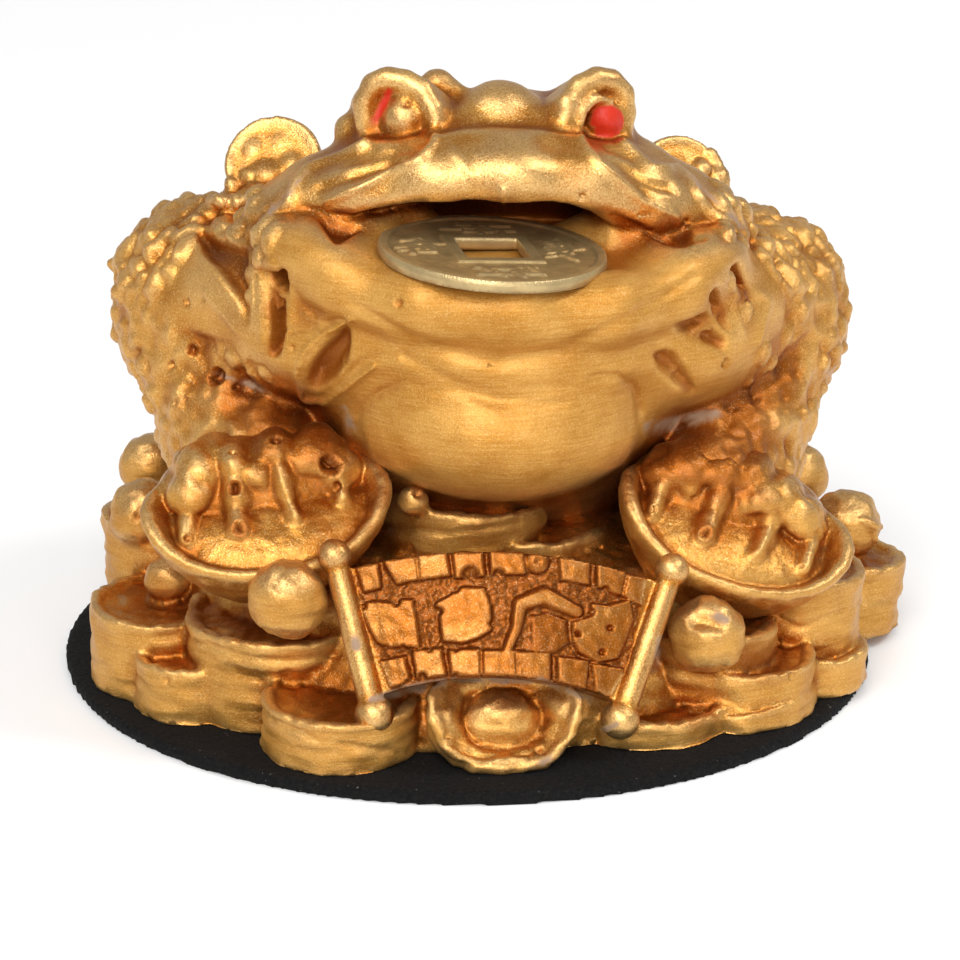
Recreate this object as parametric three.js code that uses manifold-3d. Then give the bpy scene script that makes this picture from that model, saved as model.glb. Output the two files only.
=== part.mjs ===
// A small gilded resin money toad: a broad-mouthed toad squatting on a heap of coins, ingots and pearls,
// with a loose square-holed coin on its jaw and a thin round foam pad under the heap.
// Millimetres, +Z up, the toad faces -Y, and the pad lies on the ground.

import * as THREE from "three";
import { mergeVertices } from "three/addons/utils/BufferGeometryUtils.js";
import Module from "manifold-3d";

const wasm = await Module();
wasm.setup();

// Driving sizes
const figureHeight = 56.3; // from the pad to the top of the eyes
const padRadius = 37.6;
const padThickness = 1.2;
const coinRadius = 10;
const coinThickness = 1.1;
const coinRim = 1.1;
const coinRelief = 0.22; // how far the rims of the loose coin stand above its field
const coinHole = 5.8;
const holeRim = 0.8;
const seatClearance = 0.3; // between the loose coin and the jaw it rests on
const roomAbove = 2.2; // kept free above the loose coin

// The casting is modelled on a figure of this height, and all its forms are shares of it.
const modelHeight = 56.3;
const share = figureHeight / modelHeight;

const weld = 1e-4; // points closer than this are one point

// How many sides the turned pieces have
const coinSides = 32;
const padSides = 48;
const rimmedSides = 16;
const plainSides = 12;

// Where the loose coin lies on the jaw, as shares of the figure: its middle, and the slope of its face
const coinMiddle = [0.4, -17, 42.5];
const coinSlope = [0.1, -0.02, 1];

// The toad's lean towards its left hand side, in degrees
const lean = 2.9;

const colours = { gilding: 0xc48a35, metal: 0x77704f, foam: 0x161616 };

// Solids and geometry

function solidOf(geometry) {
  const bare = geometry.clone();
  bare.deleteAttribute("normal");
  bare.deleteAttribute("uv");
  const merged = mergeVertices(bare, weld);
  const corners = merged.index.array;
  const kept = [];
  for (let i = 0; i < corners.length; i += 3) {
    const [a, b, c] = [corners[i], corners[i + 1], corners[i + 2]];
    if (a !== b && b !== c && c !== a) kept.push(a, b, c);
  }
  const vertProperties = new Float32Array(merged.attributes.position.array);
  return new wasm.Manifold(new wasm.Mesh({ numProp: 3, vertProperties, triVerts: new Uint32Array(kept) }));
}

function geometryOf(solid) {
  const mesh = solid.getMesh();
  const points = [];
  for (let i = 0; i < mesh.vertProperties.length; i += mesh.numProp) {
    points.push(mesh.vertProperties[i], mesh.vertProperties[i + 1], mesh.vertProperties[i + 2]);
  }
  const geometry = new THREE.BufferGeometry();
  geometry.setAttribute("position", new THREE.Float32BufferAttribute(points, 3));
  geometry.setIndex(Array.from(mesh.triVerts));
  geometry.computeVertexNormals();
  return geometry;
}

function joined(geometries) {
  return geometries.map(solidOf).reduce((whole, next) => whole.add(next));
}

function placed(geometry, at, turn = [0, 0, 0]) {
  const euler = new THREE.Euler(...turn.map(THREE.MathUtils.degToRad));
  const matrix = new THREE.Matrix4().makeRotationFromEuler(euler).setPosition(...at);
  return geometry.applyMatrix4(matrix);
}

// A closed solid through rings of points, each ring seen counter-clockwise from its far end.
function loft(rings) {
  const sides = rings[0].length;
  const points = rings.flat();
  const middles = [rings[0], rings.at(-1)].map((ring) =>
    ring.reduce((sum, p) => sum.add(p), new THREE.Vector3()).divideScalar(sides),
  );
  points.push(...middles);
  const [start, end] = [points.length - 2, points.length - 1];
  const last = (rings.length - 1) * sides;
  const faces = [];
  for (let s = 0; s < sides; s++) {
    const n = (s + 1) % sides;
    faces.push(start, n, s, end, last + s, last + n);
    for (let r = 0; r < last; r += sides) {
      faces.push(r + s, r + n, r + sides + n, r + s, r + sides + n, r + sides + s);
    }
  }
  const geometry = new THREE.BufferGeometry().setFromPoints(points);
  geometry.setIndex(faces);
  return geometry;
}

// A turned solid about Z from a profile of [radius, height] pairs that runs from the bottom to the top.
function turned(profile, sides) {
  const points = profile.map(([r, z]) => new THREE.Vector2(r, z));
  return new THREE.LatheGeometry(points, sides).rotateX(Math.PI / 2);
}

// Clay: soft forms that melt into each other. Each form gives its distance from a point.

function ball(x, y, z, rx, ry = rx, rz = rx, melt = 2) {
  const smallest = Math.min(rx, ry, rz);
  const distance = (px, py, pz) => {
    const [dx, dy, dz] = [(px - x) / rx, (py - y) / ry, (pz - z) / rz];
    const out = Math.hypot(dx, dy, dz);
    const steep = Math.hypot(dx / rx, dy / ry, dz / rz);
    return steep < 1e-9 ? -smallest : (out * (out - 1)) / steep;
  };
  return { distance, melt };
}

function limb(from, to, startRadius, endRadius = startRadius, melt = 1.5) {
  const [ax, ay, az] = from;
  const [bx, by, bz] = to.map((value, i) => value - from[i]);
  const long = bx * bx + by * by + bz * bz;
  const distance = (px, py, pz) => {
    const [dx, dy, dz] = [px - ax, py - ay, pz - az];
    const along = THREE.MathUtils.clamp((dx * bx + dy * by + dz * bz) / long, 0, 1);
    const off = Math.hypot(dx - bx * along, dy - by * along, dz - bz * along);
    return off - THREE.MathUtils.lerp(startRadius, endRadius, along);
  };
  return { distance, melt };
}

// A run of limbs through points that are [x, y, z, radius].
function ridge(points, melt = 1) {
  return points.slice(1).map((end, i) => {
    const start = points[i];
    return limb(start.slice(0, 3), end.slice(0, 3), start[3], end[3], melt);
  });
}

// The same forms on both sides: make is called with 1 and with -1, and multiplies its X values by that.
const bothSides = (make) => [...make(1), ...make(-1)];

function clay(forms, cuts = []) {
  return (x, y, z) => {
    let depth = Infinity;
    for (const { distance, melt } of forms) {
      const next = distance(x, y, z);
      const mix = Math.max(melt - Math.abs(depth - next), 0) / melt;
      depth = Math.min(depth, next) - (depth === Infinity ? 0 : (mix * mix * melt) / 4);
    }
    for (const { distance, melt } of cuts) {
      const next = -distance(x, y, z);
      const mix = Math.max(melt - Math.abs(depth - next), 0) / melt;
      depth = Math.max(depth, next) + (mix * mix * melt) / 4;
    }
    return depth;
  };
}

// A skin drawn in over the clay from all sides, towards a point inside it. Its facets are smaller on the side
// that the finer direction points to.
function skin(shape, middle, detail, reach, finer = [0, 0, 0]) {
  const sphere = mergeVertices(bareSphere(detail), weld);
  const place = sphere.attributes.position;
  const step = 0.6;
  const halvings = 14;
  const pull = new THREE.Vector3(...finer);
  for (let i = 0; i < place.count; i++) {
    const way = new THREE.Vector3().fromBufferAttribute(place, i).normalize().add(pull).normalize();
    const at = (far) => shape(middle[0] + way.x * far, middle[1] + way.y * far, middle[2] + way.z * far);
    let far = reach;
    while (far > step && at(far) > 0) far -= step;
    let [inside, outside] = [far, far + step];
    for (let k = 0; k < halvings; k++) {
      const half = (inside + outside) / 2;
      if (at(half) > 0) outside = half;
      else inside = half;
    }
    place.setXYZ(i, middle[0] + way.x * inside, middle[1] + way.y * inside, middle[2] + way.z * inside);
  }
  return sphere;
}

function bareSphere(detail) {
  const sphere = new THREE.IcosahedronGeometry(1, detail);
  sphere.deleteAttribute("normal");
  sphere.deleteAttribute("uv");
  return sphere;
}

// The toad

const leaning = (geometry) => geometry.rotateY(THREE.MathUtils.degToRad(lean));

function trunk() {
  const forms = [
    ball(0, 5, 25, 23, 21, 14, 4),
    ball(0, 7, 32, 19, 16.5, 12, 4),
    ball(0, -5.2, 28, 15.4, 20.4, 9.4, 3),
    ball(0, -5, 34.6, 20, 19.3, 6.2, 3),
    ball(0, -6.5, 38.6, 20.5, 18.6, 4.4, 2),
    ...bothSides((s) => [
      ...ridge([[0, -23.2, 39.9, 2.4], [s * 8, -21.8, 39.9, 2.4], [s * 14.5, -17.6, 40.1, 2.2],
        [s * 18.8, -11.6, 41, 1.9], [s * 20.4, -7, 41.8, 1.6]], 1.5),
    ]),
  ];
  // The tongue's flat bed, the creases round the belly, and the slots between the jaw and the shoulders
  const cuts = [
    ball(0, -14, 62.5, 70, 70, 20, 1.2),
    ...bothSides((s) => [
      limb([s * 18.4, -10.5, 38.4], [s * 18.2, -14.6, 31.4], 1.3, 1, 0.8),
      limb([s * 14.4, -21.4, 36.2], [s * 16.6, -18.6, 31.4], 0.5, 1.2, 0.8),
      ...ridge([[0, -25.2, 35.4, 0.5], [s * 7, -23.6, 35.8, 0.5], [s * 12, -21, 37.2, 0.4]], 1),
      ...ridge([[0, -25.4, 32.2, 0.6], [s * 6, -24.4, 32.6, 0.6], [s * 11.4, -21.4, 33.8, 0.5],
        [s * 14.4, -18.6, 29, 0.8]], 1),
    ]),
  ];
  return skin(clay(forms, cuts), [0, -2, 30], 6, 36, [0, -0.5, 0.05]);
}

function head() {
  const forms = [
    ball(0, 0.5, 43.9, 15.8, 11, 5.2, 3),
    ball(0, 8, 37.6, 18.6, 14.5, 9, 5),
    ball(0, -4.5, 47.8, 14.2, 9.6, 4.4, 3),
    ball(0.3, -9.6, 49.2, 9.5, 6.2, 3, 2.5),
    ball(0.4, -3, 51, 7.6, 6, 3.4, 2),
    ball(0.9, -6.2, 53, 3.3, 2.8, 3, 0.8),
    ball(-3, -8.4, 52, 1.9, 1.7, 1.6, 0.8),
    ball(4, -8.4, 52.1, 1.9, 1.7, 1.6, 0.8),
    ball(-4.9, -3.4, 54, 2.2, 2, 1.6, 1),
    ...bothSides((s) => [
      ball(s * 19.8, -6.2, 42.8, 2.4, 3.2, 2.2, 1.5),
      ball(s * 8.8, -4.4, 52.1, 4, 4.6, 3.4, 1),
      ball(s * 9.7, -8, 52.1, 2, 2, 2, 0.3),
      ball(s * 11.6, -2.6, 50.2, 1.8, 1.8, 1.8, 0.8),
      ball(s * 17, 3, 41.6, 5.2, 5.4, 3, 2),
      ...ridge([[s * 5.4, -9.2, 51.6, 0.9], [s * 6.6, -8.4, 54.9, 1], [s * 9, -7.4, 56.2, 1],
        [s * 11.4, -6.9, 55, 1], [s * 12.3, -7, 51.6, 0.9]], 0.5),
      ...ridge([[s * 6.4, -10.2, 50.4, 0.8], [s * 12.2, -8.8, 49.9, 0.8]], 0.8),
      ...ridge([[s * 0.2, -12, 52, 0.8], [s * 5.4, -11.2, 51.6, 0.9], [s * 9, -11.8, 49.2, 0.8],
        [s * 15, -10.4, 47, 0.8]], 1.2),
      ...ridge([[s * 12.6, -5.8, 47.8, 1.4], [s * 16.8, -5.6, 45.7, 1.4], [s * 20.6, -5.2, 42.4, 1.3]], 1.5),
      ...ridge([[0, -14.6, 49.6, 1.5], [s * 7, -13.6, 48.9, 1.5], [s * 13, -11.6, 47.2, 1.5],
        [s * 17.6, -9, 45, 1.5], [s * 20.6, -6.4, 42.8, 1.3]], 1.4),
    ]),
  ];
  const palate = ball(0, -13.6, 34, 24, 12, 13.7, 0.5);
  return skin(clay(forms, [palate]), [0, -1.5, 49], 8, 30, [0, -0.42, 0.02]);
}

function arm(side) {
  const s = side;
  const forms = [
    ball(s * 25, 2.5, 33, 8.8, 9.6, 9, 3),
    limb([s * 25, 0, 30], [s * 22.4, -7, 20], 7, 6, 3),
    limb([s * 24.5, -4, 31.5], [s * 17.5, -12.6, 30.4], 4.4, 3, 2.5),
    limb([s * 23, -6, 24.5], [s * 19.4, -13.6, 22], 5.4, 4.2, 3),
  ];
  const cuts = [
    limb([s * 14.5, -17, 27], [s * 29, -9.5, 32.4], 1.4, 1.6, 1.2),
    limb([s * 21.6, -10, 41], [s * 20.6, -13.6, 33.4], 1.2, 0.5, 1),
  ];
  return skin(clay(forms, cuts), [s * 23.5, -3, 29], 4, 24, [0, -0.3, 0]);
}

// A limb as a geometry of its own
function tube(from, to, radius, sides = 6) {
  const [start, end] = [new THREE.Vector3(...from), new THREE.Vector3(...to)];
  const way = end.clone().sub(start);
  const lean = new THREE.Quaternion().setFromUnitVectors(new THREE.Vector3(0, 1, 0), way.clone().normalize());
  const capsule = new THREE.CapsuleGeometry(radius, way.length(), 1, sides);
  return capsule.applyQuaternion(lean).translate(...start.add(end).divideScalar(2));
}

// A hand: a low mound with four fingers that run down its front, turned about its middle
function hand(middle, side, lean) {
  const parts = [new THREE.SphereGeometry(1, 10, 6).scale(8.8, 6.8, 4.7).translate(0, 1, -1)];
  for (const across of [-5.9, -2.2, 1.6, 5.7]) {
    const x = across * side;
    parts.push(tube([x * 0.92, 2.8, 3.1], [x * 1.1, -5.2, 0.3], 1.7));
  }
  return parts.map((part) => placed(part, middle, [14, lean, 0]));
}

// The rump with the third leg, which is tucked under the back
function hindLeg() {
  const forms = [ball(0, 19, 22, 12, 8, 8.5, 2), limb([0, 23, 20], [2.5, 29, 13.5], 5, 3.8, 2)];
  const toes = [-3.6, 0, 3.6].map((x) => tube([2.5 + x * 0.6, 29, 12.5], [2.5 + x * 1.4, 32.4, 9.8], 1.6));
  return [skin(clay(forms), [0, 22, 18], 2, 22), ...toes];
}

function warts() {
  const dots = [[-4, 12, 46.2], [4, 12, 46.2], [-4.2, 17.6, 44], [4.2, 17.6, 44]];
  return dots.map(([x, y, z]) => placed(new THREE.SphereGeometry(1.7, 6, 4), [x, y, z]));
}

// The heap

const heapRim = 0.9; // the flat rim of a coin in the heap
const heapRimSlope = 0.3; // across the slope inside that rim
const heapField = 0.5; // how far the field lies under the rim

const plainProfile = (r, t) => [[0, 0], [r, 0], [r, t], [0, t]];

function rimmedProfile(r, t) {
  const [rim, field] = [r - heapRim, t - heapField];
  return [[0, 0], [r, 0], [r, t], [rim, t], [rim - heapRimSlope, field], [0, field]];
}

function heapCoin(x, y, top, radius, thickness, tilt = [0, 0], profile = rimmedProfile) {
  const sides = profile === rimmedProfile ? rimmedSides : plainSides;
  return placed(turned(profile(radius, thickness), sides), [x, y, top - thickness], [...tilt, 0]);
}

// The mound under the coins, which starts a little below the pad's top and is cut off there
const moundProfile = [[0, 0], [31.4, 0], [31.4, 3], [27, 11.5], [18, 15.5], [0, 16.5]];
const moundSides = 14;
const moundMiddle = 2.5;
const sunk = 0.5;

function mound() {
  return placed(turned(moundProfile, moundSides), [0, moundMiddle, padThickness - sunk]);
}

// Coins that show from the front, as [x, y, top, radius, thickness, tilt about X, tilt about Y]
const rimmedCoins = [
  [-28.2, -7.6, 9, 6.9, 8.5, 2, -1], [-26.3, -14.7, 6.2, 5, 5.7, 0, 0], [-18, -14.9, 10.4, 8.6, 2.4, 3, -2],
  [-13.8, -25.6, 6.2, 6.8, 5.7, 3, 0], [22.4, -19, 6.4, 6.9, 3.2, 2, 2], [28.4, -13.6, 12, 6.1, 6, 2, 4],
  [36.2, 0.4, 7.9, 5.1, 3.3, 0, 4],
];
const plainCoins = [
  [-18.3, -14.4, 8, 8.4, 7.5, 2, -1], [13.6, -22.2, 3.6, 7.6, 3.1, 0, 0], [21.4, -18.6, 3.2, 8.2, 2.7, 0, 0],
  [28.6, -13.4, 8, 5.9, 7.5, 0, 0], [29.8, -13.8, 4.9, 5, 4.4, 0, 2], [35.8, -0.4, 4.8, 4.9, 4.3, 0, 0],
  [-1.5, -11, 19.8, 7.4, 5, 3, 4], [2.9, -8.4, 16.6, 9.4, 6, 2, 2], [19.2, -18.6, 9.2, 6.6, 8.4, 0, 0],
  [-26.6, 4, 13.6, 6.6, 12.8, 0, -3], [29.4, 3.4, 10.6, 6.6, 9.8, 0, 3],
];

// Coins round the back, in two rows: the angle from the toad's left, the distance out, the top, the radius,
// and the tilts about X and Y
const backCoins = [
  [20, 27.6, 6.8, 6.4, -3, -2], [47, 28, 8.4, 7.2, 2, 1], [74, 28, 5.9, 6.8, 0, -1],
  [104, 27.8, 7.8, 6.4, -2, 2], [131, 28, 6.1, 7.2, 3, 0], [157, 27.5, 8.3, 6.8, 1, -2],
  [36, 23, 12, 6.4, -1, 1], [144, 23, 13.4, 7.2, -3, -1],
];
const backCoinFoot = 0.6;

const pearls = [
  [-18.2, -25, 14.9, 3.5], [18.6, -25.2, 10.1, 3.4], [-30, 0, 14.4, 3.1], [-28.9, 8, 16.2, 3.1],
  [-28, -7, 10.4, 2.2], [36, 1.2, 10.4, 3.3], [32.2, 7.6, 13.3, 3.1], [-6.5, -16.8, 20.6, 1.4],
];

const largePearl = 3.3; // pearls above this radius are in front and have more facets

function pearl(radius) {
  const [around, down] = radius > largePearl ? [12, 8] : [8, 5];
  return new THREE.SphereGeometry(radius, around, down);
}

function coinHeap() {
  const rimmed = rimmedCoins.map(([x, y, top, r, t, ...tilt]) => heapCoin(x, y, top, r, t, tilt));
  const plain = plainCoins.map(([x, y, top, r, t, ...tilt]) => heapCoin(x, y, top, r, t, tilt, plainProfile));
  const back = backCoins.map(([angle, out, top, radius, ...tilt]) => {
    const turn = THREE.MathUtils.degToRad(angle);
    const [x, y] = [out * Math.cos(turn), out * Math.sin(turn)];
    return heapCoin(x, y, top, radius, top - backCoinFoot, tilt, plainProfile);
  });
  const balls = pearls.map(([x, y, z, r]) => placed(pearl(r), [x, y, z]));
  return [mound(), ...rimmed, ...plain, ...back, ...balls];
}

// A boat-shaped ingot: oval rings from the keel up to the lip and down into the bowl, with raised prows. Each
// ring is a share of the width and a height.
const bowlRings = [[0.8, -0.9]];
const domeRings = [[0.76, -0.9], [0.46, -0.9], [0.2, 0.6]];
const prowRise = 1.6;

function ingot(middle, turn, long, wide, deep, domed = false) {
  const hull = [[0.45, -deep], [0.8, -deep * 0.55], [1, -0.2], [0.9, 0.2]];
  const profile = [...hull, ...(domed ? domeRings : bowlRings)];
  const sides = domed ? 12 : 14;
  const rings = profile.map(([size, height]) =>
    Array.from({ length: sides }, (_, i) => {
      const around = (2 * Math.PI * i) / sides;
      const [x, y] = [size * Math.cos(around), size * Math.sin(around)];
      const prow = size > 0.6 ? prowRise * x ** 4 : 0;
      return new THREE.Vector3(long * x, wide * y, height + prow);
    }),
  );
  return placed(loft(rings), middle, turn);
}

// The scroll: a bowed tablet between two knobbed rods, with a border of small squares and four raised blocks
const scroll = {
  left: [[-11.2, -30.6, 6], [-14.1, -24.9, 18.6]],
  right: [[10.2, -30.6, 4.6], [15.4, -25, 16.2]],
  bow: [0, -1.3, 2.9],
  thickness: 3.4,
  rod: 0.85,
  knob: 1.25,
  ends: [0.02, 0.98], // where the tablet starts and ends between the rods
  edges: [0.1, 0.9],
  sunk: 0.5, // how deep the raised blocks reach into the tablet
  squares: 8,
  squareRise: 0.55,
  squareRows: [[0.76, 0.93], [0.07, 0.24]],
  blocks: [[0.08, 0.25], [0.31, 0.48], [0.55, 0.71], [0.76, 0.93]],
  blockRise: 0.6,
  blockRow: [0.31, 0.69],
};

function onScroll(across, up, lift = 0) {
  const foot = new THREE.Vector3(...scroll.left[0]).lerp(new THREE.Vector3(...scroll.right[0]), across);
  const head = new THREE.Vector3(...scroll.left[1]).lerp(new THREE.Vector3(...scroll.right[1]), across);
  const bow = 1 - (2 * across - 1) ** 2;
  const out = new THREE.Vector3(0, head.y - foot.y, head.z - foot.z).normalize();
  const normal = new THREE.Vector3(0, -out.z, out.y);
  foot.lerp(head, up).addScaledVector(new THREE.Vector3(...scroll.bow), bow);
  return foot.addScaledVector(normal, lift);
}

// A block that follows the tablet's face, from two corners in its own across and up shares
function onTablet(from, to, low, high, steps) {
  const rings = Array.from({ length: steps + 1 }, (_, i) => {
    const across = THREE.MathUtils.lerp(from[0], to[0], i / steps);
    const corners = [[from[1], low], [to[1], low], [to[1], high], [from[1], high]];
    return corners.map(([up, lift]) => onScroll(across, up, lift));
  });
  return loft(rings);
}

function tablet() {
  const { ends, edges, sunk: deep, squares, squareRise, blockRise, blockRow } = scroll;
  const parts = [onTablet([ends[0], edges[0]], [ends[1], edges[1]], -scroll.thickness, 0, 8)];
  const pitch = squares + 0.5;
  for (let i = 0; i < squares; i++) {
    const [from, to] = [(i + 0.54) / pitch, (i + 1.38) / pitch];
    for (const [low, high] of scroll.squareRows) {
      parts.push(onTablet([from, low], [to, high], -deep, squareRise, 1));
    }
  }
  for (const [from, to] of scroll.blocks) {
    parts.push(onTablet([from, blockRow[0]], [to, blockRow[1]], -deep, blockRise, 1));
  }
  for (const [foot, head] of [scroll.left, scroll.right]) {
    parts.push(tube(foot, head, scroll.rod));
    parts.push(placed(new THREE.SphereGeometry(scroll.knob * 1.2, 6, 5), foot));
    parts.push(placed(new THREE.SphereGeometry(scroll.knob, 6, 5), head));
  }
  return parts;
}

// Coins strung down both sides of the back, each lying against the body
const strung = {
  radius: 4.5,
  thickness: 1.9,
  places: [[18.6, 2.4, 45.05], [18.2, 11.6, 41], [15, 19.4, 35.6]],
  facing: [[52, 16], [-12, 36], [-40, 34]],
  aside: [1, 0.4, 0], // how far each pair lies towards the toad's right
  lower: 0.45, // on the toad's left
};

function coinStrings() {
  return [1, -1].flatMap((s) =>
    strung.places.map(([x, y, z], i) => {
      const profile = i ? plainProfile : rimmedProfile;
      const disc = turned(profile(strung.radius, strung.thickness), plainSides);
      disc.translate(0, 0, -strung.thickness / 2);
      const [tiltX, tiltY] = strung.facing[i];
      return placed(disc, [s * x - strung.aside[i], y, z - s * strung.lower], [tiltX, s * tiltY, 0]);
    }),
  );
}

// The loose coin: a disc with a raised outer rim, and a raised square rim round its square hole

function looseCoinSolid() {
  const [r, t, low] = [coinRadius, coinThickness / 2, coinThickness / 2 - coinRelief];
  const profile = [[0, -t], [r, -t], [r, t], [r - coinRim, t], [r - coinRim - coinRelief, low], [0, low]];
  const disc = turned(profile, coinSides);
  const frame = coinHole + 2 * holeRim;
  const collar = new THREE.BoxGeometry(frame, frame, coinThickness);
  const hole = new THREE.BoxGeometry(coinHole, coinHole, coinThickness * 3);
  return joined([disc, collar]).subtract(solidOf(hole));
}

function coinPlace() {
  const up = new THREE.Vector3(...coinSlope).normalize();
  const tilt = new THREE.Quaternion().setFromUnitVectors(new THREE.Vector3(0, 0, 1), up);
  const middle = new THREE.Vector3(...coinMiddle).multiplyScalar(share);
  middle.addScaledVector(up, coinThickness / 2);
  return { middle, tilt };
}

// The room that the loose coin needs: its own disc and the clearance, open upwards
function coinRoom() {
  const { middle, tilt } = coinPlace();
  const r = coinRadius + seatClearance;
  const below = -coinThickness / 2 - seatClearance;
  const above = coinThickness / 2 + roomAbove;
  const room = turned([[0, below], [r, below], [r, above], [0, above]], coinSides);
  return room.applyQuaternion(tilt).translate(...middle);
}

// The whole casting

function castToad() {
  const toad = [trunk(), head(), arm(1), arm(-1), ...hindLeg(), ...warts(), ...coinStrings()];
  const hands = [...hand([-19.2, -18.4, 20.8], -1, -5), ...hand([21.4, -17.2, 17.4], 1, 17)];
  const ingots = [
    ingot([-19.5, -18.2, 20.6], [26, -5, 4], 11.1, 7.9, 8),
    ingot([22, -17.2, 17.2], [26, 18, -4], 11.3, 8, 8),
    ingot([0, -30, 5.2], [44, 2, 0], 6.8, 5.4, 5.4, true),
    ingot([1, 28, 8.4], [-22, 0, 0], 8.6, 5.6, 7, true),
  ];
  const body = joined(toad.map(leaning));
  const heap = joined([...coinHeap(), ...ingots, ...tablet(), ...hands]);
  const rough = geometryOf(body.add(heap));
  rough.translate(0, 0, -padThickness).scale(share, share, share).translate(0, 0, padThickness);
  // What is above the pad, in a block that holds the whole casting
  const wide = 2 * (padRadius + figureHeight);
  const block = new THREE.BoxGeometry(wide, wide, wide).translate(0, 0, wide / 2 + padThickness);
  return geometryOf(solidOf(rough).intersect(solidOf(block)).subtract(solidOf(coinRoom())));
}

function material(color, roughness, metalness) {
  return new THREE.MeshStandardMaterial({ color, roughness, metalness });
}

function named(name, geometry, look) {
  const mesh = new THREE.Mesh(geometry, look);
  mesh.name = name;
  return mesh;
}

const figure = named("toad_casting", castToad(), material(colours.gilding, 0.38, 0.75));

const looseCoin = named("loose_coin", geometryOf(looseCoinSolid()), material(colours.metal, 0.42, 0.9));
const { middle, tilt } = coinPlace();
looseCoin.position.copy(middle);
looseCoin.quaternion.copy(tilt);

const padProfile = [[0, 0], [padRadius, 0], [padRadius, padThickness], [0, padThickness]];
const padDisc = geometryOf(solidOf(turned(padProfile, padSides)));
const pad = named("foam_pad", padDisc, material(colours.foam, 0.95, 0));

const moneyToad = new THREE.Group();
moneyToad.add(figure, looseCoin, pad);

// The origin is under the middle of everything, on the ground.
const bounds = new THREE.Box3().setFromObject(moneyToad);
moneyToad.position.set(-(bounds.min.x + bounds.max.x) / 2, -(bounds.min.y + bounds.max.y) / 2, -bounds.min.z);

export default moneyToad;
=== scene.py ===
import math
import random

import bmesh
import bpy
import numpy as np
from mathutils import Matrix, Vector, noise
from mathutils.bvhtree import BVHTree


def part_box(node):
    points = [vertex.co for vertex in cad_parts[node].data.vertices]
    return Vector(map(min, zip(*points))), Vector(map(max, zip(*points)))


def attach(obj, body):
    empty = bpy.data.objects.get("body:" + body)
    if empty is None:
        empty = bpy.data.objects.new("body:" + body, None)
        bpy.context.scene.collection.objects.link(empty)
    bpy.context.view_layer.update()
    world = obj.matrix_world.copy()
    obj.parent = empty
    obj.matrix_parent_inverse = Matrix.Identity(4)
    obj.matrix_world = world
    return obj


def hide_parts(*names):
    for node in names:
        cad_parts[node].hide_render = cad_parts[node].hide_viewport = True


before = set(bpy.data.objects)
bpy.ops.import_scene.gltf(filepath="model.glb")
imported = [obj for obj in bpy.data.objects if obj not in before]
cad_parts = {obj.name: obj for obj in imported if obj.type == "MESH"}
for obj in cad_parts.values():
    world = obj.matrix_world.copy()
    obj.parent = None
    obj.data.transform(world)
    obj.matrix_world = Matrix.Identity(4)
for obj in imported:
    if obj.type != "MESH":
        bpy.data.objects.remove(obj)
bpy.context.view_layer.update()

# Everything is modelled in millimetres round the middle of the foam pad, and put in place at the end.
mm = 0.001
padLow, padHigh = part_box("foam_pad")
castLow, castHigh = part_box("toad_casting")
padMiddle = Vector(((padLow.x + padHigh.x) / 2, (padLow.y + padHigh.y) / 2, 0.0))
padTop = padHigh.z / mm
inPlace = Matrix.Translation(padMiddle) @ Matrix.Scale(mm, 4)

camera = {
    "azimuth": -6.0, "elevation": 19.0, "distance": 380.0,
    "aimRight": 1.17, "aimHeight": 16.5,
    "lens": 153.9, "sensor": 36.0, "picture": 960,
    "faceNearer": 14.0,  # how much nearer than the aim the face is
}

turn, rise = math.radians(camera["azimuth"]), math.radians(camera["elevation"])
cameraRight = np.array([math.cos(turn), math.sin(turn), 0.0])
cameraBack = np.array([math.sin(turn) * math.cos(rise), -math.cos(turn) * math.cos(rise), math.sin(rise)])
cameraUp = np.cross(cameraBack, cameraRight)
cameraAim = cameraRight * camera["aimRight"] + np.array([0.0, 0.0, camera["aimHeight"]])
cameraEye = cameraAim + cameraBack * camera["distance"]
focus = camera["lens"] / camera["sensor"] * camera["picture"]
half = camera["picture"] / 2
pixelsPerMm = focus / (camera["distance"] - camera["faceNearer"])


def onPicture(points):  # where points show in the photograph, in its pixels
    away = points - cameraEye
    depth = -(away @ cameraBack)
    return half + focus * (away @ cameraRight) / depth, half - focus * (away @ cameraUp) / depth


def pictureRay(px, py):
    way = -cameraBack * focus + cameraRight * (px - half) - cameraUp * (py - half)
    return Vector(cameraEye), Vector(way).normalized()


def placed(name, data):  # an object in the scene
    made = bpy.data.objects.new(name, data)
    bpy.context.scene.collection.objects.link(made)
    return made


def makeCamera():
    data = bpy.data.cameras.new("camera")
    data.lens, data.sensor_width = camera["lens"], camera["sensor"]
    data.clip_start, data.clip_end = 0.01, 20
    holder = placed("camera", data)
    axes = Matrix([cameraRight, cameraUp, cameraBack]).transposed()
    holder.matrix_world = Matrix.Translation(inPlace @ Vector(cameraEye)) @ axes.to_4x4()
    bpy.context.scene.camera = holder


# Clay: forms that melt into each other. Each gives its distance from points, and how softly it melts.

def lengths(vectors):
    return np.sqrt(np.einsum("ij,ij->i", vectors, vectors))


def ball(x, y, z, rx, ry, rz, melt):
    middle = np.array([x, y, z])
    radii = np.array([rx, ry, rz])

    def distance(points):
        local = (points - middle) / radii
        out = lengths(local)
        steep = lengths(local / radii)
        return out * (out - 1.0) / np.maximum(steep, 1e-9)

    return distance, melt


def limb(start, end, startRadius, endRadius, melt):
    start, way = np.array(start), np.array(end) - np.array(start)

    def distance(points):
        local = points - start
        along = np.clip(local @ way / (way @ way), 0.0, 1.0)
        radius = startRadius + (endRadius - startRadius) * along
        return lengths(local - along[:, None] * way) - radius

    return distance, melt


def ridge(points, melt):  # a run of limbs through points that are (x, y, z, radius)
    return [limb(a[:3], b[:3], a[3], b[3], melt) for a, b in zip(points, points[1:])]


def bothSides(make):
    return [*make(1), *make(-1)]


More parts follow.
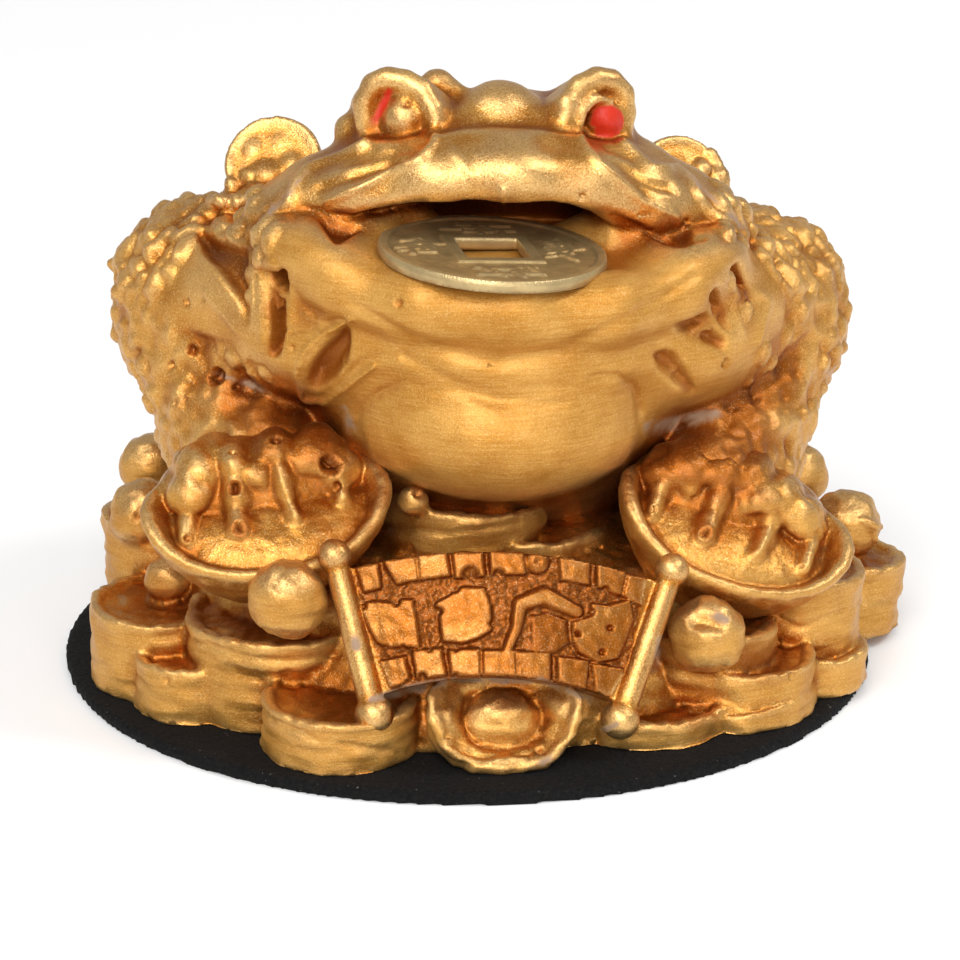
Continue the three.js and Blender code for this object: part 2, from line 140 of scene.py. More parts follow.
def clay(forms, cuts=(), late=()):  # late forms are added after the cuts
    def depth(points):
        value = forms[0][0](points)
        for distance, melt in forms[1:]:
            value = melted(value, distance(points), melt)
        for distance, melt in cuts:
            value = -melted(-value, distance(points), melt)
        for distance, melt in late:
            value = melted(value, distance(points), melt)
        return value

    return depth


def melted(a, b, melt):
    mix = np.maximum(melt - np.abs(a - b), 0.0) / melt
    return np.minimum(a, b) - mix * mix * melt / 4


def skin(shape, middle, level, reach, finer=(0.0, 0.0, 0.0)):  # drawn in over the clay from all sides
    bm = bmesh.new()
    bmesh.ops.create_icosphere(bm, subdivisions=level, radius=1.0)
    way = np.array([v.co for v in bm.verts])
    way /= np.linalg.norm(way, axis=1)[:, None]
    way += np.array(finer)
    way /= np.linalg.norm(way, axis=1)[:, None]
    middle = np.array(middle, float)
    far = np.full(len(way), float(reach))
    step, halvings = 0.6, 10
    loose = np.arange(len(way))
    while len(loose):
        outside = shape(middle + way[loose] * far[loose, None]) > 0
        loose = loose[outside & (far[loose] > step)]
        far[loose] -= step
    inside, outside = far, far + step
    for _ in range(halvings):
        centre = (inside + outside) / 2
        out = shape(middle + way * centre[:, None]) > 0
        outside = np.where(out, centre, outside)
        inside = np.where(out, inside, centre)
    for vert, place in zip(bm.verts, middle + way * inside[:, None]):
        vert.co = place
    return meshOf(bm)


def meshOf(bm, matrix=None):
    if matrix is not None:
        bmesh.ops.transform(bm, matrix=matrix, verts=bm.verts[:])
    mesh = bpy.data.meshes.new("part")
    bm.to_mesh(mesh)
    bm.free()
    return mesh


def finished(mesh, name, modifiers):  # the mesh with modifiers applied, as (type, settings)
    holder = placed(name, mesh)
    for kind, settings in modifiers:
        modifier = holder.modifiers.new(kind.lower(), kind)
        for key, value in settings.items():
            setattr(modifier, key, value)
    bpy.context.view_layer.update()
    made = bpy.data.meshes.new_from_object(holder.evaluated_get(bpy.context.evaluated_depsgraph_get()))
    bpy.data.objects.remove(holder)
    made.name = name
    return made


def remesh(voxel):
    return "REMESH", {"mode": "VOXEL", "voxel_size": voxel}


def castTogether(parts, name, voxel, rounds):  # one closed skin round all the parts
    bm = bmesh.new()
    for part in parts:
        bm.from_mesh(part)
    return finished(meshOf(bm), name, [remesh(voxel), ("SMOOTH", {"factor": 0.5, "iterations": rounds})])


def tumbled(at, turnDegrees):  # turned about X, then Y, then Z, as an Euler XYZ in the solids
    x, y, z = (math.radians(v) for v in turnDegrees)
    turns = Matrix.Rotation(x, 4, "X") @ Matrix.Rotation(y, 4, "Y") @ Matrix.Rotation(z, 4, "Z")
    return Matrix.Translation(at) @ turns


def capsule(start, end, radius, endRadius):
    bm = bmesh.new()
    start, end = Vector(start), Vector(end)
    steps = max(2, int((end - start).length / (0.35 * min(radius, endRadius))) + 1)
    for i in range(steps):
        share = i / (steps - 1)
        place = Matrix.Translation(start.lerp(end, share))
        size = radius + (endRadius - radius) * share
        bmesh.ops.create_icosphere(bm, subdivisions=3, radius=size, matrix=place)
    return meshOf(bm)


def chain(points):  # capsules through points that are (x, y, z, radius)
    return [capsule(a[:3], b[:3], a[3], b[3]) for a, b in zip(points, points[1:])]


def globe(at, radius, scale=(1.0, 1.0, 1.0)):
    bm = bmesh.new()
    stretch = Matrix.Diagonal((*scale, 1.0))
    bmesh.ops.create_icosphere(bm, subdivisions=4, radius=radius, matrix=Matrix.Translation(at) @ stretch)
    return meshOf(bm)


# Sculpting: numpy moves the vertices of a cast skin

class Sculpt:
    def __init__(self, mesh):
        self.mesh = mesh
        self.place = self.vectors(mesh.vertices, "co")
        self.edges = np.empty(len(mesh.edges) * 2, np.int32)
        mesh.edges.foreach_get("vertices", self.edges)
        self.edges = self.edges.reshape(-1, 2)
        self.look()

    def vectors(self, items, key):
        values = np.empty(len(items) * 3, np.float32)
        items.foreach_get(key, values)
        return values.reshape(-1, 3).astype(np.float64)

    def look(self):  # normals and picture places of the surface as it is now
        self.normal = self.vectors(self.mesh.vertex_normals, "vector")
        self.px, self.py = onPicture(self.place)
        self.facing = self.normal @ cameraBack
        self.move = np.zeros(len(self.place))

    def settle(self):  # moves the vertices along their normals and looks again
        self.place += self.normal * self.move[:, None]
        self.store()
        self.look()

    def store(self):
        self.mesh.vertices.foreach_set("co", self.place.astype(np.float32).ravel())
        self.mesh.update()

    def near(self, middle, radius):
        gap = self.place - np.array(middle)
        return np.flatnonzero(np.einsum("ij,ij->i", gap, gap) < radius * radius)

    def smooth(self, values, rounds):  # evens out values over neighbouring vertices
        a, b = self.edges.T
        count = len(self.place)
        ways = np.maximum(np.bincount(a, minlength=count) + np.bincount(b, minlength=count), 1)
        columns = values.reshape(count, -1).T
        for _ in range(rounds):
            columns = [(np.bincount(a, c[b], count) + np.bincount(b, c[a], count)) / ways for c in columns]
        return np.array(columns).T.reshape(values.shape)

    def hollows(self, rounds):  # how far the surface lies under its smoothed self, positive in a hollow
        return np.einsum("ij,ij->i", self.smooth(self.place, rounds) - self.place, self.normal)


def easing(share):  # 1 at 0, falling smoothly to 0 at 1
    rest = np.clip(1.0 - share, 0.0, 1.0)
    return rest * rest * (3.0 - 2.0 * rest)


def domed(share):  # 1 at 0, falling like the top of a ball to 0 at 1
    return np.sqrt(np.clip(1 - share ** 2, 0, 1))


def spotShare(sculpt, px, py, radius):  # 0 at a spot in the picture, 1 at its radius in mm
    return np.hypot(sculpt.px - px, sculpt.py - py) / pixelsPerMm / radius


def strokeShare(sculpt, path):  # 0 on a path of (px, py, half width in mm), 1 at its edge
    px, py = sculpt.px, sculpt.py
    nearest = np.full(len(px), 9.0)
    for (ax, ay, aw), (bx, by, bw) in zip(path, path[1:]):
        wayX, wayY = bx - ax, by - ay
        along = np.clip(((px - ax) * wayX + (py - ay) * wayY) / (wayX ** 2 + wayY ** 2), 0.0, 1.0)
        off = np.hypot(px - ax - along * wayX, py - ay - along * wayY) / pixelsPerMm
        nearest = np.minimum(nearest, off / (aw + (bw - aw) * along))
    return nearest


def insideBy(sculpt, outline):  # how far inside an outline in the picture, in mm, and negative outside
    px, py = sculpt.px, sculpt.py
    nearest = np.full(len(px), 1e9)
    inside = np.zeros(len(px), bool)
    for (ax, ay), (bx, by) in zip(outline, [*outline[1:], outline[0]]):
        wayX, wayY = bx - ax, by - ay
        along = np.clip(((px - ax) * wayX + (py - ay) * wayY) / (wayX ** 2 + wayY ** 2), 0.0, 1.0)
        nearest = np.minimum(nearest, np.hypot(px - ax - along * wayX, py - ay - along * wayY))
        if ay != by:
            inside ^= ((ay > py) != (by > py)) & (px < wayX * (py - ay) / (by - ay) + ax)
    return np.where(inside, nearest, -nearest) / pixelsPerMm


def lumpy(points, size, seed):  # soft noise, about -1 to 1
    shift = Vector((seed * 7.3, seed * 3.1, seed * 5.7))
    return np.array([noise.noise(Vector(p) / size + shift) for p in points]) * 2.0


# The toad's body

# It leans by so many degrees towards its left hand side. The rest is in mm: its middle on its front, where
# the arms stand, and the strength of its uneven skin.
toad = {
    "lean": 2.9, "voxel": 0.27, "middle": 1.5,
    "armOut": 20, "armLow": 15, "armHigh": 46, "backFrom": 6, "backLow": 18,
    "rough": 0.3, "gritty": 0.16, "even": 0.04,
}
mostTriangles = 190000

leanTurn = Matrix.Rotation(math.radians(toad["lean"]), 4, "Y")


def upright(x, y, z):  # a place on the leaning figure, before it leans
    return tuple(leanTurn.inverted() @ Vector((x, y, z)))


def trunkClay():
    forms = [
        ball(0, 5, 25, 23, 21, 14, 4),
        ball(0, 7, 32, 19, 16.5, 12, 4),
        ball(0, -5.2, 28, 15.4, 20.4, 9.4, 3),
        ball(0, -5, 34.6, 20, 19.3, 6.2, 3),
        ball(0, -6.5, 38.6, 20.5, 18.6, 4.4, 2),
        *bothSides(lambda s: [
            *ridge([(0, -22.8, 39.9, 2.4), (s * 8, -21.6, 39.9, 2.4), (s * 14.5, -17.4, 40.3, 2.3),
                    (s * 18.8, -11.6, 41.2, 2.0), (s * 20.6, -7, 42, 1.6)], 2.5),
            ball(s * 15.5, -11.5, 42, 5.5, 6.5, 3, 2.5),
        ]),
    ]
    mouth = ball(0, -14, 61.6, 36, 60, 19, 1.2)
    # The jaw meets the lip on both sides of the coin
    corners = [
        *bothSides(lambda s: ridge([(s * 20.4, -7.4, 40.9, 1.2), (s * 17, -10, 42.0, 1.5),
                                    (s * 14, -11.3, 42.9, 1.5), (s * 12, -11.4, 43.3, 1.3)], 2.6)),
        *ridge([(12, -11.4, 43.4, 1.4), (9.6, -11.4, 43.3, 1.4), (7.8, -9.6, 43.2, 1.3),
                (5.8, -8.2, 42.4, 1.1)], 2.0),
        *ridge([(-12, -11.2, 43.5, 1.3), (-10.6, -9.6, 43.8, 1.3), (-8.6, -8.0, 44.0, 1.4),
                (-6.6, -7.4, 43.0, 1.2)], 2.0),
    ]
    return clay(forms, [mouth], corners)


# Balls on the leaning figure, as place, radii and how softly they melt
headLumps = [
    # Eye mounds
    (-6.9, -3.4, 52.4, 3.9, 5.2, 3.3, 1.6),
    (10.9, -3.4, 52.0, 3.6, 5.2, 3.3, 1.6),
    # The crest between the eyes, a wide dome with a lobe on each side
    (2.3, -6.0, 52.5, 3.7, 3.6, 3.2, 1.2),
    (-1.5, -7.8, 51.9, 1.9, 2.0, 1.8, 1.4),
    (5.5, -8.0, 51.8, 1.9, 2.0, 1.8, 1.4),
    # Knobs behind and beside the left eye
    (-3.0, -3.6, 54.9, 1.6, 1.5, 1.5, 1.0),
    (-1.8, -4.4, 54.0, 1.4, 1.4, 1.4, 0.8),
    (-11.0, -4.0, 51.0, 1.3, 1.6, 1.5, 0.6),
    (-11.3, -5.4, 49.8, 0.9, 0.9, 0.9, 0.4),
    # Lumps under the coin on the left of the nape
    (-20.4, 0.6, 42.4, 3.2, 3.0, 2.3, 1.5),
    (-17.4, -1.6, 44.2, 1.5, 1.5, 1.5, 0.8),
    (-21.8, -0.8, 43.6, 1.3, 1.3, 1.3, 0.6),
]
# The eyes are set back inside their sockets
sockets = [(-6.9, -9.6, 53.5, 2.2, 2.7, 2.4, 0.9), (11.1, -9.6, 52.9, 2.0, 2.7, 2.4, 0.9)]
eyes = [(-6.3, -8.0, 53.0, 2.0, 2.0, 2.1, 0.5), (11.3, -7.9, 52.5, 1.6, 1.6, 1.7, 0.2)]
# Ridges round the eyes, as how softly they melt and places on the leaning figure with radii
lids = [
    # The upper lids, thick smooth arches
    (0.9,
     [(-3.6, -10.0, 52.0, 0.8), (-3.9, -9.0, 54.0, 0.95), (-4.7, -8.2, 55.4, 1.0),
      (-6.2, -7.6, 56.2, 1.0), (-7.7, -7.2, 56.4, 0.95), (-9.0, -6.9, 55.8, 0.9),
      (-9.8, -6.8, 54.2, 0.85), (-9.9, -7.4, 52.3, 0.7)]),
    (0.9,
     [(7.4, -10.0, 52.0, 0.8), (7.9, -9.0, 54.2, 0.95), (9.2, -8.0, 55.4, 1.0), (10.7, -7.4, 55.9, 1.0),
      (12.1, -7.0, 55.6, 0.95), (13.2, -6.9, 54.5, 0.85), (13.4, -7.0, 52.8, 0.75),
      (13.1, -7.8, 50.9, 0.6)]),
    # A second fold inside the right lid
    (0.4,
     [(8.9, -10.0, 52.0, 0.35), (9.3, -9.6, 53.8, 0.4), (10.6, -9.2, 54.7, 0.4),
      (12.0, -8.8, 54.3, 0.35)]),
    # The lower lids
    (1.2,
     [(-3.8, -10.6, 51.2, 0.6), (-5.6, -10.9, 50.9, 0.8), (-7.8, -10.4, 50.6, 0.85),
      (-9.8, -9.2, 50.4, 0.7), (-11.6, -8.0, 49.4, 0.5)]),
    (0.7,
     [(9.0, -10.9, 51.0, 0.5), (11.1, -10.4, 50.4, 0.6), (13.0, -9.4, 50.0, 0.55),
      (14.5, -8.4, 49.0, 0.4)]),
    (0.7,
     [(9.0, -11.2, 49.8, 0.4), (11.6, -10.6, 49.4, 0.5), (14.2, -9.2, 48.8, 0.45)]),
]


def headClay():
    forms = [
        ball(0, 0.5, 43.9, 15.8, 11, 5.2, 3),
        ball(0, 8, 37.6, 18.6, 14.5, 9, 5),
        # The snout, broad and smooth from the brow down to the lip
        ball(0, -4.5, 47.8, 14.2, 9.6, 4.4, 3),
        ball(0.4, -7.8, 48.6, 11.5, 8.2, 3.7, 3.5),
        ball(0.4, -3, 51, 7.6, 6, 3.2, 2),
        *bothSides(lambda s: [
            ball(s * 11.2, -6.8, 46.0, 6.2, 6.4, 3.1, 3),
            ball(s * 16.4, -6, 44.2, 4.6, 5, 2.6, 2.5),
            ball(s * 19.8, -6.2, 42.8, 2.4, 3.2, 2.2, 1.5),
            ball(s * 17, 3, 41.6, 5.2, 5.4, 3, 2),
            *ridge([(s * 12.6, -5.8, 47.8, 1.4), (s * 16.8, -5.6, 45.7, 1.4),
                    (s * 20.6, -5.2, 42.4, 1.3)], 2.5),
            *ridge([(0, -14.5, 49.4, 1.5), (s * 7, -13.6, 48.5, 1.5), (s * 13, -11.6, 46.5, 1.4),
                    (s * 17.6, -9.0, 44.3, 1.3), (s * 20.8, -6.4, 42.2, 1.2)], 3.2),
        ]),
        *[ball(*upright(x, y, z), *rest) for x, y, z, *rest in headLumps],
    ]
    cuts = [
        ball(0, -13.6, 34, 24, 12, 13.7, 0.5),
        *[ball(*upright(x, y, z), *rest) for x, y, z, *rest in sockets],
    ]
    late = [
        *[form for melt, points in lids
          for form in ridge([(*upright(*p[:3]), p[3]) for p in points], melt)],
        *[ball(*upright(x, y, z), *rest) for x, y, z, *rest in eyes],
        # Flesh in both corners of the mouth
        *ridge([(-10.8, -10.8, 44.4, 1.3), (-12.8, -10.8, 43.8, 1.4), (-15.0, -9.6, 43.2, 1.3)], 1.2),
        *ridge([(12.6, -10.8, 43.8, 1.3), (14.6, -10.4, 43.2, 1.4), (16.8, -9.4, 42.6, 1.3),
                (18.6, -8.2, 42.0, 1.1)], 1.2),
        # The upper lip hangs lower on this side
        *ridge([(6.5, -13.7, 48.0, 1.2), (9.4, -12.8, 46.8, 1.35), (12, -11.8, 45.4, 1.5),
                (15.5, -10.0, 43.8, 1.4)], 2.0),
    ]
    return clay(forms, cuts, late)


def armClay(s):
    forms = [
        ball(s * 25, 2.5, 33, 8.8, 9.6, 9, 3),
        limb((s * 25, 0, 30), (s * 22.4, -7, 20), 7, 6, 3),
        limb((s * 23, -6, 24.5), (s * 19.4, -13.6, 22), 5.4, 4.2, 3),
        # The flat apron of skin from the shoulder and the jaw to the belly
        ball(s * 18.5, -6.2, 36.4, 8.6, 7.0, 6.6, 4),
        ball(s * 13.5, -10, 34, 9.4, 8.4, 6.0, 4),
    ]
    forearm = limb((s * 12.5, -20.5, 26.0), (s * 30.5, -11, 30.4), 1.7, 1.5, 1.2)
    return clay(forms, [forearm])


crease = {"soft": 3.0, "low": 22, "high": 41, "front": 2, "reach": 0.9, "fade": 2, "rounds": 3}


def drawTo(sculpt, shapes):  # melts the creases where the shapes meet, on the front between two heights
    lean = np.array(leanTurn.to_3x3())
    for _ in range(crease["rounds"]):
        _, y, z = sculpt.place.T
        front = np.flatnonzero((y < crease["front"]) & (z > crease["low"]) & (z < crease["high"]))
        local = sculpt.place[front] @ lean
        value = shapes[0](local)
        for shape in shapes[1:]:
            value = melted(value, shape(local), crease["soft"])
        edge = np.minimum(z[front] - crease["low"], crease["high"] - z[front])
        weight = easing((np.abs(value) - crease["reach"]) / crease["reach"])
        sculpt.move[front] = -value * weight * np.clip(edge / crease["fade"], 0, 1)
        sculpt.settle()


def rumpClay():
    return clay([ball(0, 19, 22, 12, 8, 8.5, 2), limb((0, 23, 20), (2.5, 29, 13.5), 5, 3.8, 2)])


def heapCoin(radius, thickness, rim=0.9, drop=0.5, slope=0.35):  # a disc with a raised rim, lying flat
    bm = bmesh.new()
    bmesh.ops.create_circle(bm, cap_ends=True, segments=48, radius=radius)
    face = bm.faces[:]
    bmesh.ops.recalc_face_normals(bm, faces=face)
    raised = bmesh.ops.extrude_face_region(bm, geom=face)
    top = [g for g in raised["geom"] if isinstance(g, bmesh.types.BMFace)]
    bmesh.ops.translate(bm, verts=[v for f in top for v in f.verts], vec=(0, 0, thickness))
    for inset in (rim, slope):
        bmesh.ops.inset_region(bm, faces=top, thickness=inset, use_even_offset=True)
    bmesh.ops.translate(bm, verts=[v for f in top for v in f.verts], vec=(0, 0, -drop))
    bmesh.ops.recalc_face_normals(bm, faces=bm.faces[:])
    return bm


strung = {
    "radius": 4.5, "thickness": 1.9, "rim": 0.55, "drop": 0.2,
    "places": [(18.6, 2.4, 45.05), (18.2, 11.6, 41), (15, 19.4, 35.6)],
    "facing": [(52, 16), (-12, 36), (-40, 34)],
    "aside": (1, 0.4, 0), "lower": 0.45,
    "lumps": [(0.6, -1.5, 1.7), (-1.7, -0.5, 1.2), (1.9, 1.5, 1.0), (-0.6, 1.9, 0.8)], "sunk": 0.2,
}


def backStrings():  # lumpy coins strung down both sides of the back
    parts = []
    for s in (1, -1):
        for (x, y, z), (tiltX, tiltY), aside in zip(strung["places"], strung["facing"], strung["aside"]):
            place = tumbled((s * x - aside, y, z - s * strung["lower"]), (tiltX, s * tiltY, 0))
            bm = heapCoin(strung["radius"], strung["thickness"], strung["rim"], strung["drop"])
            bmesh.ops.translate(bm, verts=bm.verts[:], vec=(0, 0, -strung["thickness"] / 2))
            parts.append(meshOf(bm, place))
            height = strung["thickness"] / 2 - strung["drop"] - strung["sunk"]
            for across, along, radius in strung["lumps"]:
                lump = globe((s * across, along, height), radius, (1, 1, 0.5))
                lump.transform(place)
                parts.append(lump)
    return parts


def scatter(places, gap, seed):  # a random choice of places that keep a gap to each other
    order = list(range(len(places)))
    random.Random(seed).shuffle(order)
    taken, cells = [], {}
    for i in order:
        cell = tuple(int(c // gap) for c in places[i])
        close = (cells.get((cell[0] + dx, cell[1] + dy, cell[2] + dz))
                 for dx in (-1, 0, 1) for dy in (-1, 0, 1) for dz in (-1, 0, 1))
        if any(c is not None and np.linalg.norm(places[c] - places[i]) < gap for c in close):
            continue
        cells[cell] = i
        taken.append(i)
    return taken


def growWarts(sculpt, mask, gap, sizes, seed, height, stretch):  # bumps, drawn out down the surface
    candidates = np.flatnonzero(mask)
    pick = random.Random(seed)
    grown = np.zeros(len(sculpt.place))
    for i in scatter(sculpt.place[candidates], gap, seed):
        middle, normal = sculpt.place[candidates[i]], sculpt.normal[candidates[i]]
        radius, tall = pick.uniform(*sizes), height * pick.uniform(0.6, 1.0)
        length = 1 + (stretch - 1) * pick.random()
        way = np.array([pick.uniform(-0.6, 0.6), pick.uniform(-0.4, 0.4), -1.0])
        way -= normal * (way @ normal)
        way /= np.linalg.norm(way)
        close = sculpt.near(middle, radius * length)
        gaps = sculpt.place[close] - middle
        along = gaps @ way
        gaps -= np.outer(along * (1 - 1 / length), way)
        share = np.linalg.norm(gaps, axis=1) / radius
        grown[close] = np.maximum(grown[close], radius * tall * domed(share))
    sculpt.move += grown


def shown(sculpt):  # 1 where the surface turns to the camera and lies on the front of the figure
    return np.clip(sculpt.facing * 4, 0, 1) * (sculpt.place[:, 1] < 3)


def within(sculpt, outline, soft):  # 1 inside an outline in the picture, and 0 from its edge outwards
    return easing(1.0 - insideBy(sculpt, outline) / soft)


def sink(sculpt, outline, depth, soft):  # lowers the surface inside an outline
    sculpt.move -= depth * shown(sculpt) * within(sculpt, outline, soft)


def carveAll(sculpt, creases):
    for depth, paths in creases.values():
        for path in paths:
            sculpt.move -= depth * shown(sculpt) * easing(strokeShare(sculpt, path))


bubble = {"deep": 1.3, "lip": 0.05, "lipAt": 1.25, "lipWidth": 0.22}


def pierce(sculpt, holes):  # bubble holes with thin raised lips, as (px, py, radius in pixels)
    faces = [tuple(f.vertices) for f in sculpt.mesh.polygons]
    tree = BVHTree.FromPolygons([tuple(p) for p in sculpt.place], faces)
    for px, py, size in holes:
        hit = tree.ray_cast(*pictureRay(px, py))[0]
        if hit is None:
            continue
        radius = size / pixelsPerMm
        close = sculpt.near(hit, radius * 1.8 + 0.3)
        share = np.linalg.norm(sculpt.place[close] - np.array(hit), axis=1) / radius
        lip = np.exp(-((share - bubble["lipAt"]) / bubble["lipWidth"]) ** 2)
        sculpt.move[close] += bubble["lip"] * lip - radius * bubble["deep"] * domed(share) ** 0.7
    sculpt.settle()


# Places on the body in the photograph, in its pixels. Each hollow has its depth and softness in mm, the
# strength of the brown wash in it, and its outline.
bodyHollows = [
    # The long slot over one forearm
    (2.1, 0.6, 0.75,
     [(265, 264), (287, 268), (290, 286), (286, 312), (284, 340), (281, 356), (272, 361), (266, 350),
      (269, 312)]),
    # The smooth flat beside it
    (1.3, 0.8, 0.35,
     [(194, 226), (214, 232), (249, 244), (251, 322), (246, 324), (235, 300), (219, 277), (196, 252)]),
    # A fan of skin under it
    (0.7, 1.4, 0.3,
     [(289, 280), (306, 296), (348, 319), (318, 327), (287, 333)]),
    # A leaf-shaped pocket by the belly
    (1.9, 0.8, 0.5,
     [(350, 322), (330, 335), (316, 350), (306, 368), (304, 383), (311, 391), (322, 393), (336, 384),
      (348, 366), (352, 344)]),
    # Two slots in the other shoulder
    (1.5, 0.6, 0.6,
     [(708, 297), (718, 284), (722, 298), (727, 318), (735, 331), (728, 334), (714, 318)]),
    (1.5, 0.6, 0.6,
     [(727, 268), (741, 259), (747, 280), (755, 313), (747, 320), (737, 298)]),
    # Its pocket
    (1.3, 0.9, 0.5,
     [(667, 325), (691, 318), (708, 310), (720, 330), (731, 334), (730, 356), (718, 352), (700, 343),
      (680, 337)]),
    # Its leaf
    (1.1, 1.0, 0.45,
     [(648, 350), (668, 345), (680, 352), (690, 370), (699, 392), (690, 395), (673, 388), (657, 373)]),
    # The corners of the mouth
    (0.8, 0.7, 0.4,
     [(314, 212), (340, 219), (368, 226), (358, 235), (336, 247), (322, 230)]),
    (0.6, 0.7, 0.4,
     [(644, 238), (660, 228), (686, 220), (697, 238), (688, 249), (664, 246)]),
    # The cheeks
    (0.55, 0.9, 0,
     [(346, 168), (388, 156), (424, 150), (404, 166), (362, 182), (316, 197), (308, 184)]),
    (0.55, 0.9, 0,
     [(596, 150), (624, 160), (648, 176), (674, 178), (686, 200), (660, 196), (628, 180)]),
    # The belly, which swells
    (-0.25, 0.7, 0,
     [(356, 420), (372, 398), (404, 384), (500, 400), (594, 380), (622, 380), (636, 396), (640, 430),
      (610, 530), (390, 530)]),
]
# Grooves, or ridges where the depth is negative, each along paths of (px, py, half width in mm)
bodyCreases = {
    "fan": (0.7, [
        [(288, 331, 0.5), (314, 327, 0.6), (346, 320, 0.3)],
    ]),
    "leafRim": (-0.6, [
        [(352, 318, 0.2), (322, 334, 0.3), (304, 352, 0.3), (297, 374, 0.3), (303, 396, 0.35),
         (324, 402, 0.35), (348, 384, 0.4), (374, 366, 0.3)],
    ]),
    "bands": (-0.3, [
        [(252, 254, 0.28), (253, 326, 0.22)],
        [(260, 258, 0.25), (261, 340, 0.22)],
        [(206, 292, 0.5), (238, 332, 0.35)],
        [(722, 280, 0.22), (733, 310, 0.22), (744, 334, 0.2)],
        [(727, 276, 0.2), (740, 318, 0.2)],
        [(757, 292, 0.5), (770, 300, 0.4), (758, 344, 0.35)],
        [(746, 384, 0.4), (762, 350, 0.3)],
    ]),
    "drip": (-0.5, [
        [(503, 190, 0.35), (503, 206, 0.2)],
    ]),
    "lips": (0.4, [
        [(300, 205, 0.25), (311, 209, 0.35), (347, 216, 0.4), (386, 211, 0.4), (424, 202, 0.5)],
        [(612, 216, 0.5), (644, 230, 0.45), (679, 243, 0.4), (704, 238, 0.3)],
    ]),
    "faceRidges": (-0.5, [
        [(434, 141, 0.7), (468, 136, 0.9), (500, 135, 0.9), (545, 137, 0.9), (580, 141, 0.7)],
        [(435, 142, 0.5), (420, 160, 0.6), (390, 173, 0.6), (355, 190, 0.6), (325, 201, 0.4)],
        [(367, 142, 0.5), (342, 156, 0.6), (308, 168, 0.6), (294, 185, 0.6), (288, 204, 0.5),
         (262, 222, 0.4)],
        [(582, 142, 0.5), (600, 165, 0.6), (620, 181, 0.6), (642, 200, 0.6), (676, 216, 0.5)],
        [(622, 142, 0.5), (634, 154, 0.6), (652, 168, 0.6), (676, 169, 0.6), (691, 180, 0.6),
         (702, 202, 0.6), (722, 222, 0.5)],
    ]),
    "wrinkles": (0.22, [
        [(345, 165, 0.25), (380, 157, 0.25), (412, 151, 0.2)],
        [(350, 174, 0.25), (385, 165, 0.25), (410, 159, 0.2)],
        [(600, 128, 0.3), (606, 148, 0.35), (636, 160, 0.35)],
    ]),
    "snoutEdge": (-0.2, [
        [(448, 146, 0.4), (462, 160, 0.5), (472, 178, 0.4)],
    ]),
    "bellyEdges": (0.45, [
        [(352, 430, 0.35), (360, 408, 0.4), (380, 392, 0.4), (405, 381, 0.3)],
        [(592, 376, 0.3), (618, 376, 0.4), (634, 386, 0.4), (641, 414, 0.35)],
    ]),
    "folds": (0.35, [
        [(318, 402, 0.5), (338, 386, 0.7), (361, 362, 0.6), (403, 355, 0.6)],
        [(347, 300, 0.6), (407, 337, 0.8), (496, 363, 1.0), (561, 351, 0.9), (627, 319, 0.8),
         (696, 276, 0.6)],
        [(403, 356, 0.6), (454, 384, 1.1), (501, 403, 1.3), (561, 403, 0.7)],
    ]),
}
smoothSkin = [
    (250, 236), (194, 222), (176, 262), (150, 296), (160, 322), (230, 350), (308, 400), (345, 440),
    (500, 470), (650, 440), (740, 400), (790, 330), (792, 296), (770, 262), (745, 236),
]
bodyHoles = [
    (157, 328, 2), (140, 350, 3), (192, 350, 5.5), (172, 365, 4), (217, 376, 9), (238, 386, 4),
    (174, 402, 3), (185, 399, 2.5), (203, 300, 2.5), (187, 302, 4), (398, 303, 4.5), (392, 208, 3),
    (583, 197, 3.5), (694, 248, 4), (726, 364, 5.5), (686, 222, 4), (640, 216, 3), (648, 214, 2.5),
    (407, 104, 3.5), (292, 348, 3),
]
# How the warts grow on each part of the back
warts = {
    "shoulder": {"gap": 1.75, "sizes": (0.55, 1.1), "seed": 4, "height": 0.7, "stretch": 2.0},
    "arm": {"gap": 2.1, "sizes": (0.5, 1.0), "seed": 6, "height": 0.6, "stretch": 1.4},
    "back": {"gap": 2.6, "sizes": (0.6, 1.25), "seed": 5, "height": 0.6, "stretch": 1.3},
    "shoulderHeight": 36.5,
}


def sculptBody(mesh):
    sculpt = Sculpt(mesh)
    for depth, soft, _, outline in bodyHollows:
        sink(sculpt, outline, depth, soft)
    carveAll(sculpt, bodyCreases)
    sculpt.settle()
    sculpt = Sculpt(castTogether([sculpt.mesh], "toad_body", toad["voxel"], 1))
    x, y, z = sculpt.place.T
    side = np.abs(x - toad["middle"])
    smooth = within(sculpt, smoothSkin, 0.8) * shown(sculpt)
    arms = (side > toad["armOut"]) & (z > toad["armLow"]) & (z < toad["armHigh"]) & (smooth < 0.2)
    high = z > warts["shoulderHeight"]
    growWarts(sculpt, arms & high, **warts["shoulder"])
    growWarts(sculpt, arms & ~high & (sculpt.facing < 0.55), **warts["arm"])
    growWarts(sculpt, (y > toad["backFrom"]) & (z > toad["backLow"]) & ~arms, **warts["back"])
    rough = np.clip((side - 17) / 4, 0, 1) * np.clip((toad["armHigh"] - z) / 2, 0, 1) * (1 - smooth)
    uneven = toad["rough"] * lumpy(sculpt.place, 2.6, 3) + toad["gritty"] * lumpy(sculpt.place, 1.1, 6)
    sculpt.move += rough * uneven + toad["even"] * lumpy(sculpt.place, 2.2, 9)
    sculpt.settle()
    pierce(sculpt, bodyHoles)
    return sculpt.mesh


